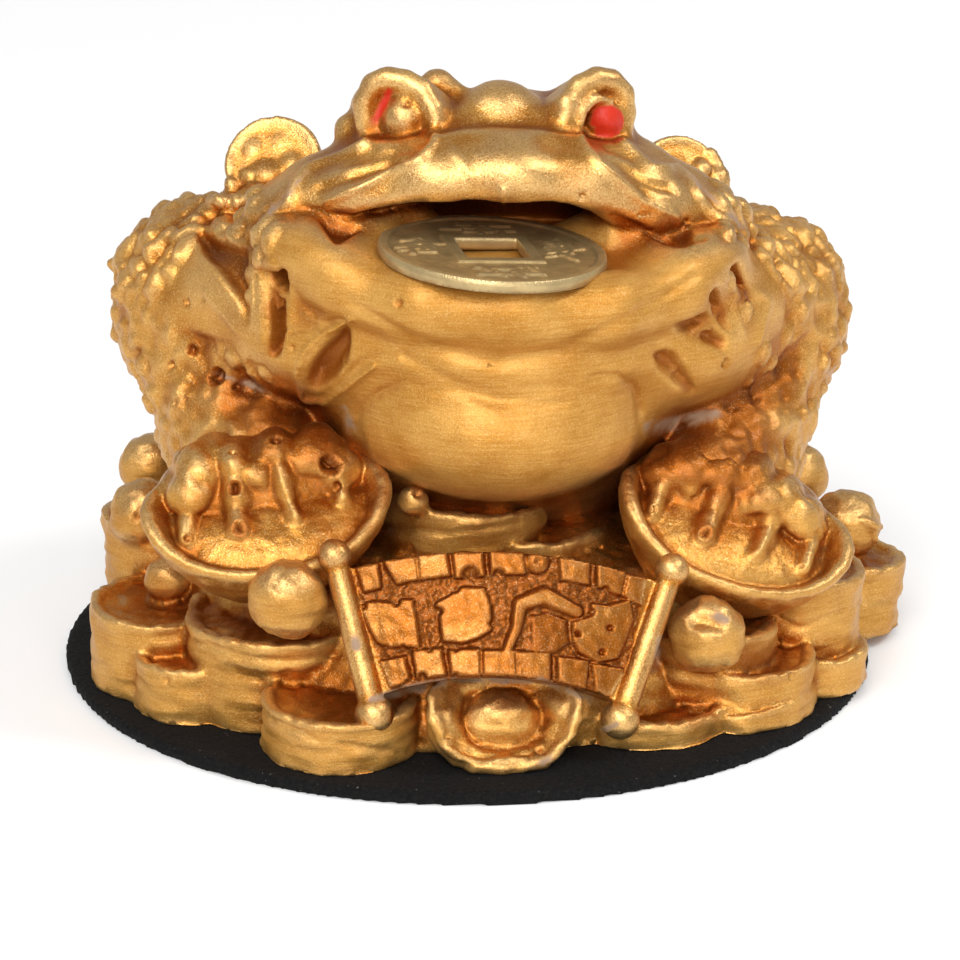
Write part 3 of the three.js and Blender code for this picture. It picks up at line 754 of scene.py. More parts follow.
def makeBody():
    levels = 6
    parts = [
        skin(trunkClay(), (0, -2, 30), levels, 36, (0, -0.5, 0.05)),
        skin(headClay(), (0, -1.5, 49), levels + 1, 30, (0, -0.42, 0.02)),
        skin(armClay(1), (23.5, -3, 29), levels, 24, (0, -0.3, 0)),
        skin(armClay(-1), (-23.5, -3, 29), levels, 24, (0, -0.3, 0)),
        skin(rumpClay(), (0, 22, 18), 5, 22),
        *[capsule((2.5 + x * 0.6, 29, 12.5), (2.5 + x * 1.4, 32.4, 9.8), 1.6, 1.5) for x in (-3.6, 0, 3.6)],
        *[globe((s * x, y, z), 1.7) for x, y, z in ((4, 12, 46.2), (4.2, 17.6, 44)) for s in (-1, 1)],
        *backStrings(),
    ]
    for part in parts:
        part.transform(leanTurn)
    mesh = castTogether(parts, "toad_body", toad["voxel"], 1)
    print("body cast", len(mesh.vertices))
    drawTo(Sculpt(mesh), [trunkClay(), armClay(1), armClay(-1)])
    return sculptBody(mesh)


# Hands that grasp boat-shaped ingots

ingots = {
    "left": {
        "at": (-19.5, -18.2, 20.6), "turn": (26, -5, 4),
        "long": 11.1, "wide": 7.9, "deep": 8.0, "horns": 1.6,
    },
    "right": {
        "at": (22, -17.2, 17.2), "turn": (26, 18, -4),
        "long": 11.3, "wide": 8.0, "deep": 8.0, "horns": 1.6,
    },
    "front": {"at": (0, -30, 5.2), "turn": (44, 2, 0), "long": 6.8, "wide": 5.4, "deep": 5.4, "horns": 2.0},
    "back": {"at": (1, 28, 8.4), "turn": (-22, 0, 0), "long": 8.6, "wide": 5.6, "deep": 7.0, "horns": 1.6},
    "voxel": 0.2,
}

# The hands in the photograph: each one's outline over the bowl of its ingot, knuckles as (px, py, radius
# and height in mm), fingers as paths with half widths in mm, and bubble holes with radii in pixels
leftHand = {
    "hand": [(187, 459), (181, 478), (171, 496), (172, 510), (203, 511), (212, 501), (222, 484), (233, 478),
             (243, 482), (253, 489), (268, 492), (270, 480), (272, 469), (282, 463), (294, 474), (309, 480),
             (322, 480), (331, 476), (345, 478), (354, 462), (348, 440), (320, 424), (280, 420), (240, 425),
             (200, 440)],
    "knuckles": [(195, 466, 1.6, 1.0), (189, 494, 1.6, 0.9), (232, 460, 1.2, 0.8), (275, 449, 1.5, 1.0),
                 (281, 472, 1.2, 0.6), (316, 447, 1.7, 1.0), (338, 468, 1.6, 0.6), (212, 446, 1.3, 0.6),
                 (254, 474, 1.1, 0.4), (300, 462, 1.1, 0.4)],
    "fingers": [
        [(192, 478, 1.1), (190, 504, 1.1), (188, 524, 0.85), (187, 542, 0.6)],
        [(233, 464, 0.9), (236, 488, 1.1), (237, 508, 1.0), (239, 530, 0.95)],
        [(280, 470, 0.9), (284, 490, 0.75), (291, 508, 0.6), (296, 520, 0.4)],
        [(334, 470, 1.1), (339, 486, 0.85), (342, 500, 0.6)],
    ],
    "holes": [(232.6, 452, 3.5), (234.6, 488, 7), (239, 528, 7.5), (276, 439.5, 5.5), (331.7, 464.4, 11.5),
              (337, 486, 4.5), (187, 538, 4), (173, 513, 2)],
}
rightHand = {
    "hand": [(636, 466), (645, 486), (654, 482), (665, 482), (675, 492), (686, 500), (695, 500), (705, 490),
             (716, 486), (727, 490), (733, 499), (737, 512), (746, 518), (756, 512), (770, 512), (776, 520),
             (786, 535), (795, 538), (806, 533), (820, 546), (819, 527), (803, 505), (788, 486), (770, 466),
             (752, 436), (700, 426), (660, 436)],
    "knuckles": [(690, 461, 1.8, 1.0), (664, 476, 1.3, 0.6), (722, 470, 1.7, 1.0), (752, 470, 1.6, 0.9),
                 (766, 500, 1.5, 0.9), (784, 494, 1.4, 0.8), (802, 516, 1.5, 0.9), (812, 532, 1.2, 0.6)],
    "fingers": [
        [(664, 484, 0.9), (657, 500, 0.8), (652, 518, 0.55)],
        [(724, 480, 1.0), (720, 494, 1.1), (712, 514, 0.95), (705, 536, 0.85)],
        [(764, 496, 1.1), (771, 516, 1.1), (764, 538, 0.8), (755, 556, 0.5)],
        [(800, 520, 1.1), (809, 540, 0.85), (805, 556, 0.65), (802, 570, 0.5)],
    ],
    "holes": [(654, 508.5, 4.5), (706, 532, 7), (694, 498, 2.5), (802, 566, 2.5)],
}


def ingotShell(sizes, rings):  # rings of (share of the width, height), joined up, with raised ends
    bm = bmesh.new()
    bmesh.ops.create_circle(bm, cap_ends=True, segments=72, radius=1.0)
    face = bm.faces[:]
    for i, (size, height) in enumerate(rings):
        if i:
            made = bmesh.ops.extrude_face_region(bm, geom=face)
            if i > 1:
                bmesh.ops.delete(bm, geom=face, context="FACES_ONLY")
            face = [g for g in made["geom"] if isinstance(g, bmesh.types.BMFace)]
        for v in {v for f in face for v in f.verts}:
            flat = Vector((v.co.x, v.co.y, 0)).normalized()
            lift = sizes["horns"] * flat.x ** 4 if size > 0.6 else 0.0
            v.co = Vector((flat.x * size, flat.y * size, height + lift))
    bmesh.ops.recalc_face_normals(bm, faces=bm.faces[:])
    bmesh.ops.scale(bm, vec=(sizes["long"], sizes["wide"], 1.0), verts=bm.verts[:])
    return meshOf(bm, tumbled(sizes["at"], sizes["turn"]))


def hull(sizes):  # the rings of an ingot from its foot up over the lip
    deep = sizes["deep"]
    foot = [(0.4, -deep), (0.66, -deep * 0.8), (0.86, -deep * 0.48), (0.965, -deep * 0.22)]
    return [*foot, (1.0, -0.5), (1.0, -0.1), (0.96, 0.2), (0.9, 0.1)]


# The rings that close an ingot, sunken under a hand or with a knob
bowl = [(0.86, -0.4), (0.8, -1.1), (0.4, -1.4)]
dome = [(0.8, -0.5), (0.66, -0.9), (0.52, -0.7), (0.38, 0.3), (0.2, 1.1)]
# What fills the bowl, in shares of the ingot and in mm, and how high the hand swells over it
grasp = {
    "fillShare": 0.9, "fillDeep": 2.6, "fillAt": (0, 0.2, -1.0),
    "palm": (9.4, 5.2, 3.4), "palmAt": (0, 3.6, 0.1),
    "web": 0.6, "swell": 1.15, "knuckle": 1.2, "finger": 0.95, "grain": 0.05, "fineGrain": 0.015,
}


def makeHand(name, sizes, marks):
    parts = [ingotShell(sizes, hull(sizes) + bowl)]
    fill = (sizes["long"] * grasp["fillShare"], sizes["wide"] * grasp["fillShare"], grasp["fillDeep"])
    for at, radii in ((grasp["fillAt"], fill), (grasp["palmAt"], grasp["palm"])):
        lump = globe((0, 0, 0), 1.0, radii)
        lump.transform(tumbled(sizes["at"], sizes["turn"]) @ Matrix.Translation(at))
        parts.append(lump)
    sculpt = Sculpt(castTogether(parts, name, ingots["voxel"], 1))
    sink(sculpt, marks["hand"], -grasp["web"], 0.7)
    sculpt.settle()
    swell = np.zeros(len(sculpt.place))
    for px, py, radius, height in marks["knuckles"]:
        share = spotShare(sculpt, px, py, grasp["knuckle"] * radius)
        swell = np.maximum(swell, height * domed(share))
    for path in marks["fingers"]:
        share = strokeShare(sculpt, path)
        swell = np.maximum(swell, grasp["finger"] * domed(share))
    sculpt.move += grasp["swell"] * sculpt.smooth(swell, 3) * shown(sculpt)
    sculpt.settle()
    sculpt = Sculpt(castTogether([sculpt.mesh], name, ingots["voxel"], 2))
    sculpt.move += grasp["grain"] * lumpy(sculpt.place, 1.3, 11)
    sculpt.move += grasp["fineGrain"] * lumpy(sculpt.place, 0.5, 12)
    sculpt.settle()
    pierce(sculpt, marks["holes"])
    return sculpt.mesh


# The heap of coins and pearls

# Rimmed coins as (x, y, top, radius, thickness, tilt about X, tilt about Y), coins round the back as
# (angle, distance out, top), and pearls as (x, y, z, radius)
heap = {
    "voxel": 0.3,
    "rimmed": [
        (-28.2, -7.6, 9, 6.9, 8.5, 2, -1), (-26.3, -14.7, 6.2, 5, 5.7, 0, 0),
        (-18, -14.9, 10.4, 8.6, 2.4, 3, -2), (-13.8, -25.6, 6.2, 6.8, 5.7, 3, 0),
        (22.4, -19, 6.4, 6.9, 3.2, 2, 2), (28.8, -12.4, 12, 5.8, 6, 2, 4), (36.2, 0.4, 7.9, 5.1, 3.3, 0, 4),
        (-18.3, -14.4, 8, 8.4, 7.5, 2, -1), (13.6, -22.2, 3.6, 7.6, 3.1, 0, 0),
        (21.4, -18.6, 3.2, 8.2, 2.7, 0, 0), (28.8, -12.4, 8, 5.6, 7.5, 0, 0),
        (29.6, -14.1, 4.8, 5.4, 4.3, 0, 2), (35.8, -0.4, 4.8, 4.9, 4.3, 0, 0),
        (-1.5, -11, 19.8, 7.4, 5, 3, 4), (2.9, -8.4, 16.6, 9.4, 6, 2, 2),
        (19.2, -18.6, 9.2, 6.6, 8.4, 0, 0), (-26.6, 4, 13.6, 6.6, 12.8, 0, -3),
        (29.4, 3.4, 10.6, 6.6, 9.8, 0, 3),
    ],
    "back": [
        (20, 27.6, 6.8), (47, 28, 8.4), (74, 28, 5.9), (104, 27.8, 7.8), (131, 28, 6.1), (157, 27.5, 8.3),
        (36, 23, 12), (144, 23, 13.4),
    ],
    "pearls": [
        (-18.2, -25, 14.9, 3.5), (18.6, -25.2, 10.1, 3.4), (-30, 0, 14.4, 3.1), (-28.9, 8, 16.2, 3.1),
        (-28, -7, 10.4, 2.2), (36, 1.2, 10.4, 3.3), (32.2, 7.6, 13.3, 3.1), (-6.5, -16.8, 20.6, 1.4),
    ],
    "mound": [(0, 0), (31.4, 0), (31.4, 3), (27, 11.5), (18, 15.5), (0, 16.5)],
    "moundAt": (0, 2.5, padTop - 0.5),
    "foot": 0.6,
    "lip": {"long": 0.8, "wide": 0.78, "height": -1.0, "radius": 1.25},
    "backRadius": 6.4, "backStep": 0.4,
    "lines": 0.13, "waves": 0.13, "grit": 0.09, "footGrit": 0.13, "footHigh": 1.6, "footFade": 1.2,
}
heapCreases = {
    "lines": (0.3, [
        [(196, 642, 0.3), (240, 658, 0.4), (290, 662, 0.4), (340, 655, 0.3)],
        [(236, 676, 0.25), (270, 684, 0.25)],
        [(740, 600, 0.3), (800, 628, 0.3), (846, 610, 0.3)],
        [(690, 712, 0.35), (740, 714, 0.4), (790, 700, 0.3)],
        [(270, 720, 0.3), (320, 742, 0.3), (400, 752, 0.3)],
        [(862, 604, 0.3), (890, 600, 0.3)],
        [(385, 527, 0.3), (450, 533, 0.35), (520, 524, 0.3)],
        [(442, 742, 0.35), (480, 756, 0.4), (530, 752, 0.3)],
    ]),
    "bumps": (-0.5, [
        [(862, 520, 0.5), (876, 526, 0.6), (888, 527, 0.3)],
        [(872, 528, 0.5), (874, 540, 0.3)],
    ]),
    "worn": (0.8, [
        [(698, 621, 1.2), (716, 625, 1.4)],
    ]),
}
heapHoles = [
    (412, 516, 5), (418, 494, 4.5), (412, 546, 2.5), (544, 530, 3), (166, 681, 4), (448, 735, 4.5),
    (137, 516, 4.5), (791, 676, 4), (500, 726, 1.8), (540, 752, 4), (601, 548, 3), (826, 643, 2),
]


def turned(profile, sides=96):  # spun about Z from a profile of (radius, height)
    bm = bmesh.new()
    verts = [bm.verts.new((r, 0, z)) for r, z in profile]
    edges = [bm.edges.new(pair) for pair in zip(verts, verts[1:])]
    bmesh.ops.spin(bm, geom=verts + edges, cent=(0, 0, 0), axis=(0, 0, 1), angle=2 * math.pi, steps=sides,
                   use_merge=True)
    bmesh.ops.remove_doubles(bm, verts=bm.verts[:], dist=1e-4)
    bmesh.ops.recalc_face_normals(bm, faces=bm.faces[:])
    return bm


def makeHeap():
    parts = [meshOf(turned(heap["mound"]), Matrix.Translation(heap["moundAt"]))]
    for x, y, top, radius, thickness, tiltX, tiltY in heap["rimmed"]:
        place = tumbled((x, y, top - thickness), (tiltX, tiltY, 0))
        parts.append(meshOf(heapCoin(radius, thickness), place))
    for i, (angle, out, top) in enumerate(heap["back"]):
        way, radius = math.radians(angle), heap["backRadius"] + (i * 2) % 3 * heap["backStep"]
        place = tumbled((out * math.cos(way), out * math.sin(way), heap["foot"]),
                        ((i * 5) % 7 - 3, (i * 3) % 5 - 2, 0))
        parts.append(meshOf(heapCoin(radius, top - heap["foot"]), place))
    parts += [globe(at, radius) for *at, radius in heap["pearls"]]
    parts += [ingotShell(ingots[name], hull(ingots[name]) + dome) for name in ("front", "back")]
    # The front ingot has a thick round lip
    front, lip = ingots["front"], heap["lip"]
    place = tumbled(front["at"], front["turn"])
    loop = [Vector((lip["long"] * front["long"] * math.cos(a), lip["wide"] * front["wide"] * math.sin(a),
                    lip["height"]))
            for a in np.linspace(0, 2 * math.pi, 25)]
    parts += chain([(*(place @ at), lip["radius"]) for at in loop])
    sculpt = Sculpt(castTogether(parts, "coin_heap", heap["voxel"], 1))
    standing = 1 - np.abs(sculpt.normal[:, 2])
    low = np.clip((padTop + heap["footHigh"] - sculpt.place[:, 2]) / heap["footFade"], 0, 1)
    # Sides are lined where the coins were cast, and their faces and the foot are rough
    sculpt.move += heap["lines"] * standing * lumpy(sculpt.place * np.array([0.22, 0.22, 1.0]), 0.9, 7)
    sculpt.move += heap["waves"] * lumpy(sculpt.place, 2.4, 8)
    sculpt.move += heap["grit"] * (1.2 - standing) * lumpy(sculpt.place, 0.9, 9)
    sculpt.move += heap["footGrit"] * low * lumpy(sculpt.place, 1.6, 10)
    carveAll(sculpt, heapCreases)
    sculpt.settle()
    pierce(sculpt, heapHoles)
    return sculpt.mesh


# The scroll: a bowed tablet between two knobbed rods

scroll = {
    "left": ((-11.2, -30.6, 6), (-14.1, -24.9, 18.6)),
    "right": ((10.2, -30.6, 4.6), (15.4, -25, 16.2)),
    "bow": (0, -1.3, 2.9),
    "slab": ((0.02, 0.1), (0.98, 0.9)), "thickness": 3.4, "cuts": 24,
    "rod": 1.05, "footRod": 1.155,
    "knob": 1.5, "footKnob": 1.725,
    "voxel": 0.16,
    "raised": 0.6, "grit": 0.04, "groundGrit": 0.1,
}


def onScroll(across, up, lift):  # a place by its shares of the scroll's width and height, and its lift
    foot = Vector(scroll["left"][0]).lerp(Vector(scroll["right"][0]), across)
    head = Vector(scroll["left"][1]).lerp(Vector(scroll["right"][1]), across)
    out = Vector((0, head.y - foot.y, head.z - foot.z)).normalized()
    bow = 1 - (2 * across - 1) ** 2
    return foot.lerp(head, up) + Vector(scroll["bow"]) * bow + Vector((0, -out.z, out.y)) * lift


def tablet(start, end, thickness, cuts):  # a slab between two places on the scroll, bowed with it
    bm = bmesh.new()
    bmesh.ops.create_cube(bm, size=1.0)
    lengthwise = [e for e in bm.edges if abs(e.verts[0].co.x - e.verts[1].co.x) > 0.5]
    bmesh.ops.subdivide_edges(bm, edges=lengthwise, cuts=cuts)
    for v in bm.verts:
        across = start[0] + (end[0] - start[0]) * (v.co.x + 0.5)
        up = start[1] + (end[1] - start[1]) * (v.co.y + 0.5)
        v.co = onScroll(across, up, (v.co.z - 0.5) * thickness)
    bmesh.ops.recalc_face_normals(bm, faces=bm.faces[:])
    return meshOf(bm)


# The raised blocks on the tablet, as outlines in the photograph
squares = [
    [(357, 567), (378, 563), (381, 588), (365, 592)],
    [(383, 560), (416, 557), (418, 580), (397, 584)],
    [(418, 556), (446, 553), (450, 576), (420, 580)],
    [(453, 552), (482, 550), (484, 576), (455, 578)],
    [(489, 551), (522, 549), (525, 574), (491, 575)],
    [(558, 554), (588, 558), (588, 585), (560, 580)],
    [(596, 562), (624, 573), (619, 595), (596, 587)],
    [(626, 575), (652, 580), (648, 610), (622, 596)],
    [(378, 662), (405, 657), (410, 680), (398, 686), (386, 688)],
    [(413, 651), (441, 649), (446, 675), (418, 679)],
    [(449, 651), (479, 649), (480, 675), (452, 676)],
    [(483, 651), (515, 651), (515, 676), (483, 675)],
    [(517, 652), (549, 653), (549, 680), (517, 677)],
    [(556, 657), (587, 661), (584, 689), (557, 682)],
    [(591, 664), (622, 669), (620, 700), (594, 696)],
]
blocks = [
    [(359, 604), (378, 602), (394, 604), (403, 600), (413, 600), (417, 622), (420, 648), (404, 646),
     (388, 647), (378, 642), (370, 628)],
    [(436, 604), (450, 596), (462, 588), (484, 588), (490, 606), (491, 630), (478, 638), (462, 643),
     (443, 641), (440, 618)],
    [(572, 622), (590, 617), (590, 604), (606, 606), (628, 600), (632, 618), (624, 640), (616, 658),
     (596, 662), (578, 652), (572, 640)],
]
bentRidge = [
    (507, 650, 0.6), (516, 628, 0.7), (520, 604, 0.9), (544, 596, 1.1), (560, 604, 1.0), (576, 612, 0.8),
]
roughPatch = [(528, 614), (548, 610), (568, 618), (572, 644), (556, 656), (528, 656)]
bead = (537, 562, 1.15)  # with its radius in mm
rodOutlines = [
    [(314, 532), (352, 532), (356, 580), (364, 620), (392, 690), (390, 736), (352, 736), (334, 640)],
    [(652, 544), (692, 548), (688, 580), (668, 640), (640, 740), (596, 748), (604, 706), (630, 660)],
]
notches = [
    (389, 580, 5), (470, 575, 10), (498, 575, 7), (604, 590, 5), (364, 606, 4), (397, 603, 4.5),
    (386, 648, 4), (404, 648, 3.5), (438, 612, 5.5), (492, 624, 4), (456, 590, 4), (410, 684, 6),
    (423, 677, 5), (456, 676, 3.5), (566, 686, 3), (590, 612, 4), (626, 648, 5), (608, 628, 4),
    (600, 652, 4), (576, 634, 4), (430, 650, 3), (456, 650, 3),
]


def blockShare(sculpt):  # 1 on the raised blocks, 0 on the ground between them
    raised = np.zeros(len(sculpt.place))
    for outline in squares + blocks:
        raised = np.maximum(raised, easing(1 - (insideBy(sculpt, outline) + 0.2) / 0.26))
    raised = np.maximum(raised, easing(strokeShare(sculpt, bentRidge) * 1.6 - 0.6))
    raised = np.maximum(raised, 0.45 * easing(1 - insideBy(sculpt, roughPatch) / 0.5))
    for nx, ny, size in notches:  # sizes in pixels
        raised *= 1 - easing(spotShare(sculpt, nx, ny, size / pixelsPerMm) * 1.5 - 0.6)
    share = spotShare(sculpt, *bead)
    return np.maximum(raised, 1.2 * domed(share) - 0.5 * easing(share * 2.5))


def makeScroll():
    parts = [tablet(*scroll["slab"], scroll["thickness"], scroll["cuts"])]
    for foot, head in (scroll["left"], scroll["right"]):
        parts.append(capsule(foot, head, scroll["footRod"], scroll["rod"]))
        parts += [globe(foot, scroll["footKnob"]), globe(head, scroll["knob"])]
    sculpt = Sculpt(castTogether(parts, "scroll", scroll["voxel"], 1))
    raised = blockShare(sculpt)
    foot, head = Vector(scroll["left"][0]), Vector(scroll["left"][1])
    rise = (head - foot).normalized()
    flat = easing((0.96 - sculpt.normal @ np.array((0, -rise.z, rise.y))) / 0.2) * ~onRods(sculpt)
    ground = 1 - np.clip(raised * 3, 0, 1)
    sculpt.move += flat * (raised * scroll["raised"] + scroll["grit"] * lumpy(sculpt.place, 0.9, 5))
    sculpt.move += flat * ground * scroll["groundGrit"] * lumpy(sculpt.place, 0.5, 15)
    sculpt.settle()
    return sculpt.mesh


def onRods(sculpt):
    insides = [insideBy(sculpt, outline) for outline in rodOutlines]
    return np.maximum(*insides) > 0


# The loose coin, with a rim, a raised border round its hole and groups of worn strokes

coinLow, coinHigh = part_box("loose_coin")
coin = {
    "slope": (0.075, -0.02, 1.0), "turn": 7.0,
    "radius": 10.0, "thickness": 1.1, "rim": 0.85, "relief": 0.22, "hole": 5.8, "border": 0.9,
    "edge": 0.2, "bevel": (0.1, 0.15), "voxel": 0.105, "worn": 0.018,
}
strokes = {
    "seed": 12, "each": 15, "spread": 24, "ring": 6.4, "inward": -1.3, "outward": 1.4,
    "turns": (0, 90, 90, 20, 120), "reach": (0.4, 1.3), "width": (0.24, 0.36), "within": 1.3,
}


def wornStrokes(x, y):  # 0.9 on short strokes, in four groups round the hole
    pick = random.Random(strokes["seed"])
    raised = np.zeros(len(x))
    for quarter in (0, 90, 180, 270):
        for _ in range(strokes["each"]):
            angle = math.radians(quarter + pick.uniform(-strokes["spread"], strokes["spread"]))
            at = strokes["ring"] + pick.uniform(strokes["inward"], strokes["outward"])
            way = math.radians(quarter + pick.choice(strokes["turns"]))
            reach, width = pick.uniform(*strokes["reach"]), pick.uniform(*strokes["width"])
            dx, dy = x - at * math.cos(angle), y - at * math.sin(angle)
            along = np.maximum(np.abs(dx * math.cos(way) + dy * math.sin(way)) - reach, 0)
            share = np.hypot(along, -dx * math.sin(way) + dy * math.cos(way)) / width
            raised = np.maximum(raised, 0.9 * easing(share - 0.4))
    return raised


def makeCoin():
    radius, thin = coin["radius"], coin["thickness"] / 2 - coin["relief"]
    flat, wall = radius - coin["bevel"][0], thin - coin["bevel"][1]
    profile = [(0, -thin), (flat, -thin), (radius, -wall), (radius, wall), (flat, thin), (0, thin)]
    disc = meshOf(turned(profile))
    bm = bmesh.new()
    bmesh.ops.create_cube(bm, size=coin["hole"])
    punch = placed("punch", meshOf(bm))
    cut = ("BOOLEAN", {"object": punch, "operation": "DIFFERENCE", "solver": "EXACT"})
    sculpt = Sculpt(finished(disc, "coin_disc", [cut, remesh(coin["voxel"])]))
    bpy.data.objects.remove(punch)
    x, y, z = sculpt.place.T
    out, square = np.hypot(x, y), np.maximum(np.abs(x), np.abs(y))
    inner = coin["hole"] / 2
    rim = easing((radius - coin["rim"] - out) / coin["edge"])
    border = easing((square - inner - coin["border"]) / coin["edge"])
    worn = wornStrokes(x, y) * (out < radius - strokes["within"])
    face = np.abs(sculpt.normal[:, 2]) > 0.7
    lift = np.maximum(np.maximum(rim, border), worn) * coin["relief"]
    z += np.where(face, np.sign(z) * lift, 0)
    z += np.where(face, coin["worn"] * lumpy(sculpt.place, 0.7, 2), 0)
    z.clip(-coin["thickness"] / 2, coin["thickness"] / 2, out=z)
    sculpt.store()
    middle = (coinLow + coinHigh) / 2 / mm
    tilt = Vector((0, 0, 1)).rotation_difference(Vector(coin["slope"])).to_matrix().to_4x4()
    at = Vector((middle.x - padMiddle.x / mm, middle.y - padMiddle.y / mm, middle.z))
    spin = Matrix.Rotation(math.radians(coin["turn"]), 4, "Z")
    sculpt.mesh.transform(Matrix.Translation(at) @ tilt @ spin)
    return sculpt.mesh


# The foam pad, with a grain on its top and a cut edge

foam = {"voxel": 0.42, "grain": 0.05, "waves": 0.03, "cut": 0.05, "edge": (0.15, 0.1, 0.2)}


def makePad():
    radius = (padHigh.y - padLow.y) / 2 / mm
    foot, middle, head = [radius - inset for inset in foam["edge"]]
    top = padTop - foam["cut"]
    profile = [(0, 0), (foot, 0), (middle, padTop * 0.5), (head, top), (0, top)]
    sculpt = Sculpt(finished(meshOf(turned(profile, 128)), "pad", [remesh(foam["voxel"])]))
    low = sculpt.place[:, 2] < 0.1
    grain = foam["grain"] * lumpy(sculpt.place, 0.9, 21) + foam["waves"] * lumpy(sculpt.place, 3.5, 22)
    sculpt.move += np.where(low, 0, grain)
    sculpt.settle()
    sculpt.place[low, 2] = 0
    sculpt.place[:, 2] = np.clip(sculpt.place[:, 2], 0, padTop)
    sculpt.store()
    return sculpt.mesh


# Finishes

class Wire:  # a shader socket, on which sums are written as in Python
    def __init__(self, shader, socket):
        self.shader, self.socket = shader, socket

    def sum(self, operation, *values, clamp=False):
        settings = {"operation": operation, "use_clamp": clamp}
        return self.shader.node("ShaderNodeMath", settings, dict(enumerate(values)))[0]

    def __add__(self, other):
        return self.sum("ADD", self, other)

    def __radd__(self, other):
        return self.sum("ADD", other, self)

    def __sub__(self, other):
        return self.sum("SUBTRACT", self, other)

    def __rsub__(self, other):
        return self.sum("SUBTRACT", other, self)

    def __mul__(self, other):
        return self.sum("MULTIPLY", self, other)

    def __rmul__(self, other):
        return self.sum("MULTIPLY", other, self)

    def clamped(self):
        return self.sum("ADD", self, 0.0, clamp=True)


class Shader:  # a material's tree, with one method for every kind of node
    def __init__(self, name):
        self.material = bpy.data.materials.new(name)
        self.material.use_nodes = True
        self.tree = self.material.node_tree
        self.surface = self.tree.nodes["Principled BSDF"]

    def node(self, kind, settings, inputs):  # inputs go by their number or name
        made = self.tree.nodes.new(kind)
        for key, value in settings.items():
            setattr(made, key, value)
        for key, value in inputs.items():
            self.put(made.inputs[key], value)
        return [Wire(self, out) for out in made.outputs]

    def put(self, socket, value):
        if isinstance(value, Wire):
            self.tree.links.new(value.socket, socket)
        else:
            socket.default_value = value

    def attribute(self, name):
        return self.node("ShaderNodeAttribute", {"attribute_name": name}, {})[2]

    def grain(self, scale, detail=2.0, roughness=0.5, stretch=None):
        place = self.node("ShaderNodeTexCoord", {}, {})[3]
        if stretch:
            place = self.node("ShaderNodeVectorMath", {"operation": "MULTIPLY"}, {0: place, 1: stretch})[0]
        inputs = {"Vector": place, "Scale": scale, "Detail": detail, "Roughness": roughness}
        return self.node("ShaderNodeTexNoise", {}, inputs)[0]

    def band(self, value, low, high):  # 0 at low, rising smoothly to 1 at high
        inputs = dict(enumerate((value, low, high, 0.0, 1.0)))
        return self.node("ShaderNodeMapRange", {"interpolation_type": "SMOOTHSTEP"}, inputs)[0]

    def mixed(self, share, a, b):
        return self.node("ShaderNodeMix", {"data_type": "RGBA"}, {0: share, 6: a, 7: b})[2]

    def bump(self, height, strength, distance, under=None):
        inputs = {"Height": height, "Strength": strength, "Distance": distance}
        if under:
            inputs["Normal"] = under
        return self.node("ShaderNodeBump", {}, inputs)[0]

    def finish(self, **sockets):
        for key, value in sockets.items():
            self.put(self.surface.inputs[key.replace("_", " ")], value)
        return self.material


def paint(red, green, blue):  # a colour as seen on a screen, 0 to 255
    def linear(c):
        c /= 255
        return c / 12.92 if c <= 0.04045 else ((c + 0.055) / 1.055) ** 2.4
    return (linear(red), linear(green), linear(blue), 1.0)


gilt = {
    "gold": paint(204, 147, 70), "deepGold": paint(178, 114, 38), "paleGold": paint(206, 154, 76),
    "sandGold": paint(178, 122, 44), "washAndShade": paint(150, 80, 14), "shadedWash": paint(104, 46, 6),
    "bright": paint(250, 222, 160), "red": paint(190, 46, 26), "bare": paint(150, 122, 98),
}


def makeGilding():
    shader = Shader("pearl_gold_paint")
    keys = ("recess", "crown", "pale", "red", "bare")
    recess, crown, pale, red, bare = [shader.attribute(key) for key in keys]
    cloud = shader.grain(240, 3)
    fleck = shader.grain(6200, 2, 0.7)
    streak = shader.grain(1.0, 2, 0.6, (300, 300, 5200))
    # The gold, lighter on crowns as wear and a painted highlight, and brushed on pale skin
    colour = shader.mixed(shader.band(cloud, 0.35, 0.7), gilt["gold"], gilt["deepGold"])
    colour = shader.mixed(shader.band(crown, 0.15, 0.9) * 0.3, colour, gilt["bright"])
    brushed = shader.band(streak * 0.4 + cloud * 0.6, 0.3, 0.7)
    colour = shader.mixed(pale, colour, shader.mixed(brushed, gilt["paleGold"], gilt["sandGold"]))
    # The brown wash in the hollows together with painted shade, darkest as painted shade where they are
    # deepest
    washedAndShaded = shader.band(recess + (cloud - 0.5) * 0.6, 0.12, 0.95)
    colour = shader.mixed(washedAndShaded * 0.9, colour, gilt["washAndShade"])
    colour = shader.mixed(shader.band(recess, 0.95, 1.6) * 0.7, colour, gilt["shadedWash"])
    # Light flecks as painted glints, dark flecks, bare resin and the red of the eyes
    plain = 1 - 0.55 * pale
    light = shader.band(fleck, 0.52, 0.7) * 0.45 * (1 - 0.6 * washedAndShaded) * plain
    colour = shader.mixed(light, colour, gilt["bright"])
    colour = shader.mixed(shader.band(fleck, 0.48, 0.32) * 0.55 * plain, colour, gilt["washAndShade"])
    colour = shader.mixed(bare, colour, gilt["bare"])
    colour = shader.mixed(red, colour, gilt["red"])
    metal = ((0.9 - 0.4 * pale) * (1 - red) * (1 - bare)).clamped()
    rough = (0.33 + 0.12 * pale + 0.1 * (fleck - 0.5) + 0.04 * washedAndShaded + 0.2 * bare).clamped()
    relief = shader.bump(streak * pale, 0.3, 0.0001)
    relief = shader.bump(fleck, 1.0, 0.00004, relief)
    relief = shader.bump(shader.grain(1300, 2), 0.5, 0.0001, relief)
    return shader.finish(Base_Color=colour, Metallic=metal, Roughness=rough, Normal=relief,
                         Specular_IOR_Level=0.2, Coat_Weight=0.06, Coat_Roughness=0.12)


